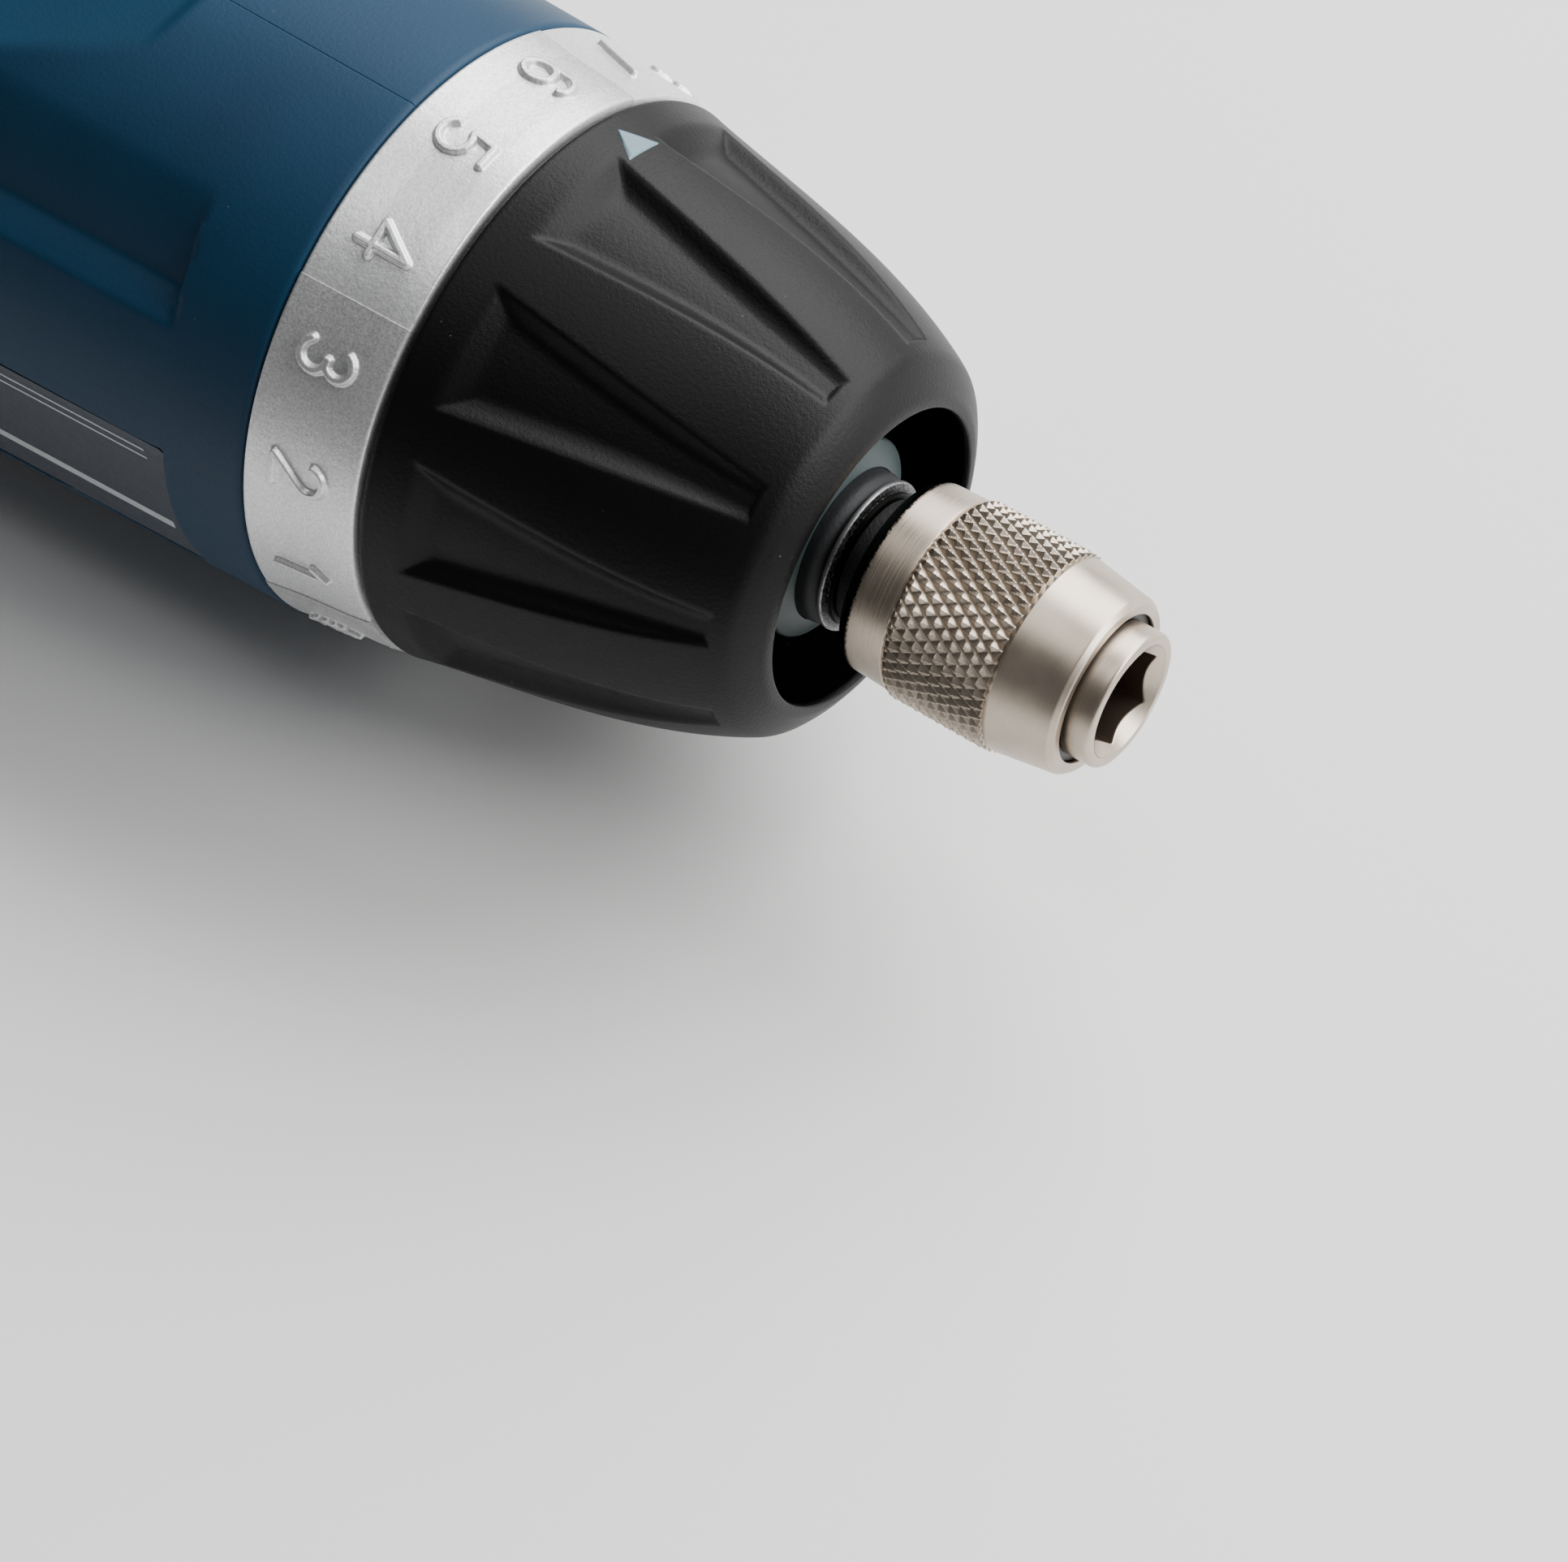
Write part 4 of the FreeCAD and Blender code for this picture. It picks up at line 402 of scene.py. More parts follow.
# %% Rounded outlines and turned pieces
def outline(corners, step=0.6, rounding=0.12, arc_steps=5):
    """A closed outline from (place, radius) or (place, radius, rounding) corners, in millimetres."""
    made = []
    count = len(corners)
    for index, corner in enumerate(corners):
        here = np.array(corner[:2], float)
        before = np.array(corners[index - 1][:2], float)
        after = np.array(corners[(index + 1) % count][:2], float)
        amount = corner[2] if len(corner) > 2 else rounding
        back_way, ahead = before - here, after - here
        back_run, ahead_run = np.linalg.norm(back_way), np.linalg.norm(ahead)
        back_way, ahead = back_way / back_run, ahead / ahead_run
        half = math.acos(np.clip(back_way @ ahead, -1, 1)) / 2
        if amount <= 0 or here[1] == 0 or half > 1.54:
            made.append(here)
            continue
        reach = min(amount / math.tan(half), 0.45 * back_run, 0.45 * ahead_run)
        for share in np.linspace(0, 1, arc_steps + 1):
            first = here + back_way * reach * (1 - share)
            made.append(first * (1 - share) + (here + ahead * reach * share) * share)
    dense = []
    for index, spot in enumerate(made):
        following = made[(index + 1) % len(made)]
        cuts = max(1, int(np.linalg.norm(following - spot) / step))
        dense += [spot + (following - spot) * cut / cuts for cut in range(cuts)]
    return np.array(dense)


def turned(name, corners, body, slot, stands_for=(), columns=160, finish=None, **details):
    """A round piece from its outline."""
    points = points_at(*np.hsplit(outline(corners, **details), 2), full_turn(columns))
    return piece(name, points, body, slot, stands_for, finish=finish)


# %% [markdown]
# ## Smooth recesses
# Moulded recesses have soft edges and sloping walls. Cutting them with booleans would leave hard edges, so the
# radius of the skin is lowered by a depth instead: the smaller of the floor's depth and the rise of each wall, with
# the corner between them rounded off by a polynomial blend.

# %% Soft minimum and maximum
def unit(values):
    """Values held between 0 and 1."""
    return np.clip(values, 0, 1)


def rolled(distance, width):
    """How far an edge has rolled off: 1 at the edge and 0 from a width on."""
    return unit(1 - distance / width) ** 2


def lower(first, second, width):
    """The smaller of two fields, blended over a width."""
    share = unit(0.5 + 0.5 * (second - first) / width)
    return second * (1 - share) + first * share - width * share * (1 - share)


def higher(first, second, width):
    """The larger of two fields, blended over a width."""
    return -lower(-first, -second, width)


# %% [markdown]
# ## Casing
# The casing is two half shells that meet in a fine seam on top and below. It swells behind the ring, narrows to a
# waist for the hand and widens to the tail. Two long panels and a place for the plate are sunk in its sides, and a
# sloping scoop on top holds the switch.

# %% The casing's outline
def bow(along, start, stop, radius):
    """Height of an arc between two points of the outline; a positive radius bulges outwards."""
    (first, low), (last, high) = start, stop
    chord = math.hypot(last - first, high - low)
    rise = math.sqrt(radius * radius - chord * chord / 4)
    side = math.copysign(1.0, radius)
    tilt_along, tilt_up = (high - low) / chord, (first - last) / chord
    centre_along = (first + last) / 2 - side * tilt_along * rise
    centre_up = (low + high) / 2 - side * tilt_up * rise
    return centre_up + side * np.sqrt(np.maximum(radius * radius - (along - centre_along) ** 2, 0))


CASING_REAR = -146.0
SWELL, HOLLOW, WAIST, FLARE = (-42.0, 24.18), (-64.1, 21.55), (-85.1, 18.6), (-108.0, 18.6)
TAPER = 1.7 / 42.0


def casing_radius(along):
    """Radius of the plain casing: a straight taper, a swell, a waist and a long hollow curve to the tail."""
    along = np.asarray(along, float)
    return np.select(
        [along > place for place, _ in (SWELL, HOLLOW, WAIST, FLARE)],
        [22.48 - along * TAPER, bow(along, SWELL, HOLLOW, 70.0), bow(along, HOLLOW, WAIST, -76.0),
         np.full_like(along, WAIST[1])],
        bow(along, FLARE, (CASING_REAR, 20.6), -362.0))


print("casing radius at the swell and the waist", casing_radius([SWELL[0], WAIST[0]]))


# %% Depths of the recesses, for one half of the casing
def panel_depth(along, turn, base):
    """The long side panel: a floor that sinks slowly from its upper edge, a lower slope and a steep front end."""
    upper_turn, lower_turn = 30.3, 53.8
    arc = np.radians(turn) * base
    floor = (arc - np.radians(upper_turn) * base) * 0.17
    lower_slope = (np.radians(lower_turn) * base - arc) * 0.45
    front = -8.1 + (turn - upper_turn) / (lower_turn - upper_turn)
    depth = lower(floor, lower_slope, 0.15)
    depth = lower(depth, (front - along) * 1.8, 0.3)
    depth = lower(depth, (along + 56.0) * 0.5, 0.5)
    return higher(depth, 0.0, 0.12)


PLATE_TURN = 94.8
PLATE_FRONT = -6.6
PLATE_LEVEL = 21.41
PLATE_HALF = (17.0, 6.8)


def plate_depth(along, turn, base):
    """The flat place for the plate."""
    floor = PLATE_LEVEL - (along - PLATE_FRONT) * TAPER
    from_middle = np.radians(turn - PLATE_TURN)
    across = np.sin(from_middle) * base
    depth = base - floor / np.maximum(np.cos(from_middle), 0.5)
    from_front = PLATE_FRONT - along
    inside = np.minimum(PLATE_HALF[1] - np.abs(across), np.minimum(from_front, 2 * PLATE_HALF[0] - from_front))
    return higher(lower(depth, inside * 6.0, 0.12), 0.0, 0.1)


GRIP_MIDDLE = (-105.0, -1.0)
GRIP_HALF = (31.0, 12.0)
GRIP_CORNER = 7.0


def grip_inside(along, height):
    """Distance inside the rounded outline of a grip pad."""
    past_along = np.abs(along - GRIP_MIDDLE[0]) - GRIP_HALF[0] + GRIP_CORNER
    past_up = np.abs(height - GRIP_MIDDLE[1]) - GRIP_HALF[1] + GRIP_CORNER
    outside = np.hypot(np.maximum(past_along, 0), np.maximum(past_up, 0))
    return GRIP_CORNER - outside - np.minimum(np.maximum(past_along, past_up), 0)


# %% [markdown]
# The skin of one half is a grid of radii. Its inner side needs far fewer points, so it takes every fourth one,
# and the rims between the two are faces with several corners. Both ways the grid has a multiple of four steps.

# %% Radius of a half's skin
CLEAR = 60.0
SCOOP = ((-78.0, 20.3), (-34.0, 20.3), (-18.4, 22.6), (-17.3, 23.5), (-16.0, 30.0), (0.0, CLEAR))
BELLY, REST = 22.6, 23.0
REST_MIDDLE, REST_LONG, REST_WIDE = -34.0, 20.0, 6.0


def casing_skin(along, turn, side):
    """Radius of one half's outer skin."""
    base = casing_radius(along)
    upward, sideways = np.cos(np.radians(turn)), np.abs(np.sin(np.radians(turn)))
    radius = base - 0.25 * (rolled(-along, 0.3) + rolled(along - CASING_REAR, 0.3)) - panel_depth(along, turn, base)
    if side > 0:
        radius = radius - plate_depth(along, turn, base)
    floor = np.interp(along, *zip(*SCOOP)) / np.maximum(upward, 0.05)
    radius = lower(radius, np.where(along < SCOOP[0][0], CLEAR, floor), 0.3)
    below, downward = -upward > 0.5, np.maximum(-upward, 0.5)
    radius = np.where(below, lower(radius, BELLY / downward, 0.25), radius)
    on_rest = below & (np.abs(along - REST_MIDDLE) < REST_LONG) & (sideways * 22.8 < REST_WIDE)
    radius = np.where(on_rest, REST / downward, radius)
    radius = radius - np.clip((grip_inside(along, radius * upward) - 0.5) * 2.5, 0, 1.3)
    return radius - 0.04 * unit(1 - sideways * base / 0.05)


# %% Build a half shell
INNER_STEP = 4
SIDES = ((1, "right"), (-1, "left"))
WALL, WALL_LEAST = 2.4, 1.5


def shell(name, outer, inner, body, slot, stands_for, step=1, crease=50.0):
    """A closed sheet as a piece: an outer grid, an inner one with every so many points, and the rims between."""
    points = np.concatenate([outer.reshape(-1, 3), inner.reshape(-1, 3)])
    first = outer.shape[0] * outer.shape[1]
    above = np.arange(first).reshape(outer.shape[:2])
    below = np.arange(first, len(points)).reshape(inner.shape[:2])
    faces = grid_faces(outer.shape).tolist() + grid_faces(inner.shape, first).tolist()
    for border in (np.s_[0, :], np.s_[-1, :], np.s_[:, 0], np.s_[:, -1]):
        rim, low = above[border].tolist(), below[border].tolist()
        for place in range(len(low) - 1):
            faces.append(rim[place * step:(place + 1) * step + 1] + [low[place + 1], low[place]])
    return piece(name, points, body, slot, stands_for, faces, crease)


seam_steps = np.array([0.0, 0.12, 0.24, 0.36, 0.7])
half_turn = np.concatenate([seam_steps, np.linspace(1.2, 178.8, 327), 180.0 - seam_steps[::-1]])
casing_places = np.concatenate([[0.0, -0.08, -0.16, -0.3], np.arange(-0.6, -62.0, -0.4),
                                np.arange(-62.0, -145.4, -1.0), [-145.7, -145.85, CASING_REAR]])
halves = {}
for side, word in SIDES:
    skin = casing_skin(casing_places[:, None], half_turn, side)
    wall = np.minimum(casing_radius(casing_places)[:, None] - WALL, skin - WALL_LEAST)[::INNER_STEP, ::INNER_STEP]
    outer = points_at(casing_places[:, None], skin, side * half_turn)
    inner = points_at(casing_places[::INNER_STEP, None], wall, side * half_turn[::INNER_STEP])
    halves[word] = shell("casing_" + word, outer, inner, "casing", "casing_plastic", ["housing_" + word],
                         INNER_STEP, 40.0)

# %% [markdown]
# Holes go right through the skin, so they are cut: the opening of the rocker, the hole of the charge light and, on
# the left half, the wells of the screws. The cutters are thrown away afterwards.

# %% Cut the holes of the casing
def as_cutter(name, work):
    """An object from a work mesh."""
    mesh = bpy.data.meshes.new(name)
    work.to_mesh(mesh)
    work.free()
    return placed(name, mesh)


def block(name, low, high):
    """A box between two corners in millimetres."""
    work = bmesh.new()
    bmesh.ops.create_cube(work, size=1.0)
    for vertex in work.verts:
        share = vertex.co + Vector((0.5, 0.5, 0.5))
        vertex.co = Vector([(low[k] + (high[k] - low[k]) * share[k]) * MM for k in range(3)])
        vertex.co.x -= REACH * MM
    return as_cutter(name, work)


def drill(name, start, direction, radius, length, sides=48):
    """A round cutter from a point along a direction, in millimetres."""
    work = bmesh.new()
    bmesh.ops.create_cone(work, cap_ends=True, segments=sides, radius1=radius * MM, radius2=radius * MM,
                          depth=length * MM)
    centre = Vector((start[0] - REACH, start[1], start[2])) * MM + Vector(direction) * length * MM / 2
    turn = Vector((0, 0, 1)).rotation_difference(Vector(direction)).to_matrix().to_4x4()
    bmesh.ops.transform(work, matrix=Matrix.Translation(centre) @ turn, verts=work.verts)
    return as_cutter(name, work)


def cut_away(target, cutters, crease=40.0):
    """Takes cutters out of a piece and throws them away."""
    for cutter in cutters:
        change = target.modifiers.new("cut", "BOOLEAN")
        change.object = cutter
        change.operation = "DIFFERENCE"
        change.solver = "EXACT"
    bpy.context.view_layer.update()
    ready = target.evaluated_get(bpy.context.evaluated_depsgraph_get())
    fresh = bpy.data.meshes.new_from_object(ready)
    target.modifiers.clear()
    old = target.data
    target.data = fresh
    bpy.data.meshes.remove(old)
    for cutter in cutters:
        bpy.data.objects.remove(cutter)
    soften(target.data, crease)
    print(target.name, "cut,", len(target.data.polygons), "faces")


LIGHT_ALONG = -69.5
SCREWS = ((-24.0, -17.2), (-24.0, 17.2), (-66.0, -15.9), (-141.5, 9.0), (-141.5, -9.0))
for word in halves:
    cutters = [block("opening", (-63.5, -6.0, 15.0), (-36.5, 6.0, 30.0)),
               drill("light_hole", (LIGHT_ALONG, 0.0, 15.0), (0, 0, 1), 1.65, 15.0)]
    if word == "left":
        cutters += [drill(f"well_{index}", (along, 9.0, height), (0, 1, 0), 2.4, 20.0)
                    for index, (along, height) in enumerate(SCREWS)]
    cut_away(halves[word], cutters)

# %% [markdown]
# ## Number ring
# The ring is satin silver with raised rounded numbers from 1 to 15 and a drill mark, one every 22.5 degrees. Text
# objects could be wrapped round it, but their faces stay flat and their corners hard. Here each number is a few
# strokes, and the skin rises near a stroke, so numbers and ring are one moulded surface.

# %% Strokes of the numbers
def sweep(centre, radius, start, stop, stretch=1.0, count=14):
    """Points of an arc, angles in degrees."""
    angles = np.radians(np.linspace(start, stop, count))
    return [(centre[0] + radius * math.cos(a), centre[1] + radius * stretch * math.sin(a)) for a in angles]


STROKES = {
    "0": [sweep((0.30, 0.5), 0.27, 0, 360, 1.85, 30)],
    "1": [[(0.12, 0.76), (0.34, 1.0), (0.34, 0.0)]],
    "2": [sweep((0.30, 0.72), 0.27, 170, -40) + [(0.03, 0.0), (0.60, 0.0)]],
    "3": [sweep((0.29, 0.74), 0.25, 150, -90), sweep((0.29, 0.255), 0.27, 90, -150)],
    "4": [[(0.46, 0.0), (0.46, 1.0), (0.02, 0.32), (0.64, 0.32)]],
    "5": [[(0.56, 1.0), (0.14, 1.0), (0.09, 0.56)] + sweep((0.30, 0.31), 0.30, 130, -150)],
    "6": [sweep((0.31, 0.74), 0.26, 35, 180) + [(0.05, 0.31)], sweep((0.31, 0.31), 0.26, 0, 360, 1.1, 24)],
    "7": [[(0.02, 1.0), (0.58, 1.0), (0.22, 0.0)]],
    "8": [sweep((0.30, 0.75), 0.23, 0, 360, 1.0, 24), sweep((0.30, 0.27), 0.27, 0, 360, 1.0, 24)],
    "9": [sweep((0.31, 0.26), 0.26, 215, 360) + [(0.57, 0.69)], sweep((0.31, 0.69), 0.26, 0, 360, 1.1, 24)],
    "drill": [[(0.30, 0.0), (0.30, 0.18)], [(0.12, 0.18), (0.48, 0.18)], [(0.14, 0.34), (0.46, 0.48)],
              [(0.14, 0.52), (0.46, 0.66)], [(0.14, 0.70), (0.46, 0.84)],
              [(0.22, 0.86), (0.30, 1.0), (0.40, 0.88)]],
}
NUMBER_TALL = 3.9
NUMBER_WIDE = 0.62 * NUMBER_TALL


def label_strokes(word):
    """Strokes of a number in millimetres, centred on its place."""
    glyphs = [word] if word in STROKES else list(word)
    squeeze = 1.0 if len(glyphs) == 1 else 0.82
    advance = 0.78 * squeeze * NUMBER_TALL
    start = -(advance * (len(glyphs) - 1) + NUMBER_WIDE * squeeze) / 2
    made = []
    for index, glyph in enumerate(glyphs):
        for stroke in STROKES[glyph]:
            made.append([(start + index * advance + u * squeeze * NUMBER_TALL, (v - 0.5) * NUMBER_TALL)
                         for u, v in stroke])
    return made


def stroke_distance(across, along, strokes):
    """Distance from points to the nearest stroke."""
    least = np.full(np.broadcast(across, along).shape, 9.0)
    for stroke in strokes:
        for (u0, v0), (u1, v1) in zip(stroke, stroke[1:]):
            run_u, run_v = u1 - u0, v1 - v0
            share = unit(((across - u0) * run_u + (along - v0) * run_v) / (run_u ** 2 + run_v ** 2 + 1e-12))
            least = np.minimum(least, np.hypot(across - u0 - share * run_u, along - v0 - share * run_v))
    return least


# %% Ring with raised numbers
SETTINGS = 16
PITCH = 360.0 / SETTINGS
SLIDE = 3 * PITCH
SLIDE_TURN = 34.6
FIRST_TURN = SLIDE_TURN + 2.5 * PITCH
RING_REAR, RING_FRONT = 0.15, 8.6
NUMBER_MIDDLE = 4.35
STROKE_HALF = 0.37
RAISED = 0.42
words = [str(number) for number in range(1, SETTINGS)] + ["drill"]
number_turns = [FIRST_TURN - PITCH * index for index in range(SETTINGS)]
ring_turns = np.sort(np.concatenate(
    [turn + np.linspace(-8.6, 8.6, 92) for turn in number_turns]
    + [turn + PITCH / 2 + np.linspace(-2.2, 2.2, 7) for turn in number_turns]
    + [[turn + PITCH / 2 - 0.06, turn + PITCH / 2 + 0.06] for turn in number_turns[::3]]))
ring_places = np.concatenate([
    np.linspace(RING_REAR, 0.45, 5), np.linspace(0.7, 1.8, 6), np.linspace(1.95, 6.75, 75),
    np.linspace(7.0, 8.2, 5), np.linspace(8.3, RING_FRONT, 5)])
ring_radii = np.interp(ring_places, [RING_REAR, 3.0, 5.5, 7.0, RING_FRONT], [22.48, 21.98, 21.69, 21.53, 21.25])
ring_radii = ring_radii - 0.13 * (rolled(ring_places - RING_REAR, 0.2) + rolled(RING_FRONT - ring_places, 0.2))
segment = np.mod(ring_turns - (FIRST_TURN + PITCH / 2), SLIDE) / SLIDE
ring_grid = ring_radii[:, None] - 0.09 * segment ** 3
for word, turn in zip(words, number_turns):
    near = np.abs(ring_turns - turn) < 8.7
    across = np.radians(ring_turns[near] - turn) * 21.8
    distance = stroke_distance(across, (ring_places - NUMBER_MIDDLE)[:, None], label_strokes(word))
    rise = unit((STROKE_HALF - distance) / 0.22)
    ring_grid[:, near] += RAISED * rise * rise * (3 - 2 * rise)
inside_profile = np.array([
    (RING_FRONT, 19.35), (6.0, 19.35), (2.35, 19.35), (2.35, 18.45), (RING_REAR, 18.45)])
ring_points = np.concatenate([points_at(ring_places[:, None], ring_grid, ring_turns),
                              points_at(*np.hsplit(inside_profile, 2), ring_turns)])
print("ring", len(ring_points), "rows", len(ring_turns), "columns")

# %% [markdown]
# The silver is a paint over plastic: metallic, satin and slightly lumpy, with a fine sparkle. Each span of three
# numbers was moulded against its own slide, which left a fine line and a change of tone where two slides met.

# %% Silver finish
silver = Finish("silver_paint", Metallic=0.72)
silver_lumps = silver.noise(2.2, 3.0)
silver_sparkle = silver.noise(6.0, 3.0)
silver_across = silver.axis("Y")
silver_angle = silver_across.math("ARCTAN2", silver_across * -1.0, silver.axis("Z")) * (180.0 / math.pi)
from_slide = silver_angle - (SLIDE_TURN - 10 * SLIDE)
silver_tone = (1.0 - from_slide.math("MODULO", from_slide, SLIDE) * (1.0 / SLIDE)) ** 4.0
silver.set("Base Color", silver.mix(
    silver_tone * 0.5 + silver_sparkle.over(0.35, 0.65) * 0.4, colour(232, 233, 233), colour(150, 151, 150)))
silver.set("Roughness", 0.38 + silver_tone * 0.1 + (silver_lumps - 0.5) * 0.2)
silver.bump(silver_lumps * 0.6 + silver_sparkle * 0.4, 0.036)
finishes["silver_ring"] = silver.material
piece("number_scale", ring_points, "casing", "silver_ring", ["number_ring"], crease=60.0)

# %% [markdown]
# ## Torque collar
# The collar is a black moulded cone with ten tapering flutes. Each flute starts with a sloping wall ahead of the
# ring, keeps a nearly flat floor that grows shallower and ends in a short wall at the lip. The lip rolls over into
# the opening round the chuck. The flutes could be cut from a cone, but their walls are soft, so they are depths.

# %% The collar's outline
LIP = (33.0, 14.68)
THROAT = (33.0, 12.2)
edge = np.linspace(0, 1, 6)
collar_rows = np.concatenate([np.arange(9.6, 11.7, 0.2), np.arange(11.8, 14.0, 0.08), np.arange(14.1, 32.2, 0.2),
                              np.linspace(32.25, 32.98, 10)])
collar_outer = np.concatenate([
    np.stack([8.8 + 0.6 * edge ** 2, 20.5 + 0.6 * np.sqrt(1 - (1 - edge ** 2) ** 2)], 1),
    np.stack([collar_rows, 0 * collar_rows], 1)])
COLLAR_PLACES = (9.4, 10.0, 13.0, 17.0, 21.0, 25.0, 29.0, 31.5, LIP[0])
COLLAR_RADII = (21.1, 20.93, 20.33, 19.57, 18.72, 17.70, 16.42, 15.42, LIP[1])
run = collar_outer[:, 0] > 9.5
fit = np.polyfit(COLLAR_PLACES, COLLAR_RADII, 4)
collar_outer[run, 1] = np.polyval(fit, collar_outer[run, 0])
lip_start = (LIP[0], float(np.polyval(fit, LIP[0])), 0.0)
collar_lip = outline([lip_start, (34.0, 14.15, 9.0), (34.85, 13.05, 9.0), (35.55, 11.8, 9.0), (35.62, 11.05, 9.0),
                      (35.2, 10.98, 0.2), (*THROAT, 0.0)], step=0.2, arc_steps=8)
collar_lip = collar_lip[:np.argmin(np.hypot(*(collar_lip - THROAT).T))]
collar_inner = np.array([THROAT, (29.0, 13.6), (26.0, 14.2), (26.0, 7.46), (24.5, 7.46), (24.5, 16.0),
                         (22.8, 16.0), (12.4, 17.2), (12.4, 17.66), (8.8, 17.66)])
collar_profile = np.concatenate([collar_outer, collar_lip, collar_inner])
along, radius = np.hsplit(collar_profile, 2)
skin_rows = len(collar_outer)
print("collar radius behind and at the lip", collar_outer[run, 1].max().round(2), round(lip_start[1], 2))

# %% [markdown]
# The edges of a flute come closer together towards the lip. Columns of the grid that ran straight would cross them
# in small steps, so the columns are shared out anew in each row: the same number over half the floor, the wall and
# half the land.

# %% Flutes
FLUTES = 10
LAND_TURN = -21.6
FLUTE_START, FLUTE_END = 12.0, 32.95
WALL_SLOPE = 1.05
land_half = 4.42 - 0.155 * (along - 12.2)
sunk = np.clip(1.12 - 0.0048 * np.maximum(along - 20.0, 0) ** 2, 0.2, 2.0)
floor_turn = np.degrees((land_half - WALL_SLOPE * sunk) / radius)
land_turn = np.degrees(land_half / radius)
column_share = np.concatenate([np.linspace(0, 0.9, 7), [0.96, 1.0, 1.04], np.linspace(1.12, 1.88, 9),
                               [1.95, 2.0, 2.03, 2.07], np.linspace(2.14, 3.0, 11)])
column_share = np.concatenate([-column_share[:0:-1], column_share[:-1]])
away = np.abs(column_share)
off_flute = np.sign(column_share) * (
    unit(away) * floor_turn + unit(away - 1) * (land_turn - floor_turn)
    + unit(away - 2) * (180.0 / FLUTES - land_turn))
off_flute[skin_rows:] = off_flute[skin_rows - 1]
collar_turns = np.concatenate(
    [LAND_TURN + (flute + 0.5) * 360.0 / FLUTES + off_flute for flute in range(FLUTES)], 1)
beside = np.radians(np.abs(off_flute)) * radius
wall = (land_half - beside) / WALL_SLOPE
depth = lower(lower(sunk, wall, 0.5), (along - FLUTE_START) * 0.65, 0.3)
depth = lower(depth, (FLUTE_END - along) * 0.8, 0.12)
depth = higher(depth, 0.0, 0.24)
depth[skin_rows:] = 0
collar_radius = radius - np.tile(depth, FLUTES)
piece("fluted_collar", points_at(along, collar_radius, collar_turns), "collar", "collar_black", ["torque_collar"],
      crease=55.0)

# %% [markdown]
# ## Pointer
# A pale triangle on one land of the collar points at the chosen number. It is a thin inlay that stands a little
# proud, so it is a small grid that follows the land, closed by a floor below the skin.

# %% Pointer inlay
POINTER_START, POINTER_LONG, POINTER_HALF = 10.4, 2.35, 1.6
POINTER_PROUD, POINTER_DEEP = 0.10, 0.6
rows, columns = 26, 15
share = np.linspace(0, 1, rows)[:, None]
side = np.linspace(-1, 1, columns)
pointer_along = POINTER_START + POINTER_LONG * share
pointer_base = np.polyval(fit, pointer_along)
pointer_half = 0.04 + POINTER_HALF * share
pointer_across = side * pointer_half
border = np.minimum((1 - np.abs(side)) * pointer_half, POINTER_LONG * np.minimum(share, 1 - share))
pointer_top = pointer_base + POINTER_PROUD * unit(border / 0.14) ** 0.5
pointer_turn = LAND_TURN + np.degrees(pointer_across / pointer_base)
shell("pointer_mark", points_at(pointer_along, pointer_top, pointer_turn),
      points_at(pointer_along, pointer_base - POINTER_DEEP, pointer_turn),
      "collar", "pointer_pale", ["collar_pointer"])

# %% [markdown]
# ## Chuck sleeve
# The sleeve carries a diamond knurl: two families of fine grooves that wind round it at 30 degrees, left and
# right, and leave small pyramids. A bump map would fail at the outline, so the grooves are real: the radius drops
# near each groove, and the family that was rolled last is a little deeper.

# %% Sleeve with a diamond knurl
KNURLS = 50
KNURL_RATE = 4.3
sleeve_turns = full_turn(KNURLS * 18)
knurl_places = np.arange(KNURL_START, KNURL_STOP + 0.02, 0.075)
sleeve_rear = outline([(37.5, 6.15), (37.5, 6.42), (38.3, 6.95), (41.28, 7.08), (41.34, 6.98), (41.34, 6.2)],
                      0.3, 0.08)[:-4]
sleeve_outer = np.concatenate([sleeve_rear, np.stack([knurl_places, np.full_like(knurl_places, 7.35)], 1)])
sleeve_rest = outline([(49.34, 7.0), (49.6, 7.1, 0.1), (53.9, 6.45, 0.3), (54.3, 6.1, 0.25), (54.3, 5.42),
                       (54.05, 5.42), (54.05, 5.6), (53.2, 5.6), (53.2, 4.95), (47.5, 4.95), (47.5, 6.15),
                       (38.0, 6.15)], 0.3, 0.08)
sleeve_profile = np.concatenate([sleeve_outer, sleeve_rest])
along, radius = np.hsplit(sleeve_profile, 2)
sleeve_twist = sleeve_turns + KNURL_RATE * (np.clip(along, KNURL_START, KNURL_STOP) - KNURL_START)
wave_one = np.abs(np.mod(KNURLS * (sleeve_twist - KNURL_RATE * along) / 360.0, 1.0) - 0.5) * 2
wave_two = np.abs(np.mod(KNURLS * (sleeve_twist + KNURL_RATE * along) / 360.0, 1.0) - 0.5) * 2
pyramid = np.minimum((1 - wave_one) * 1.15, (1 - wave_two) * 0.95 + 0.18)
sleeve_row = np.arange(len(sleeve_profile))
in_knurl = (sleeve_row >= len(sleeve_outer) - len(knurl_places)) & (sleeve_row < len(sleeve_outer))
ends = unit((along - 41.38) / 0.2) * unit((49.34 - along) / 0.05)
sleeve_radius = np.where(in_knurl[:, None], radius - 0.36 + 0.34 * pyramid * ends, radius)
piece("knurled_sleeve", points_at(along, sleeve_radius, sleeve_twist), "sleeve", "nickel", ["chuck_sleeve"],
      crease=18.0)

# %% [markdown]
# ## Chuck body
# The body shows as a short nose with a hexagon socket and a countersunk mouth. The wall of the socket is the larger
# of the hexagon and the countersink's cone, so the six scallops where they meet come out by themselves.

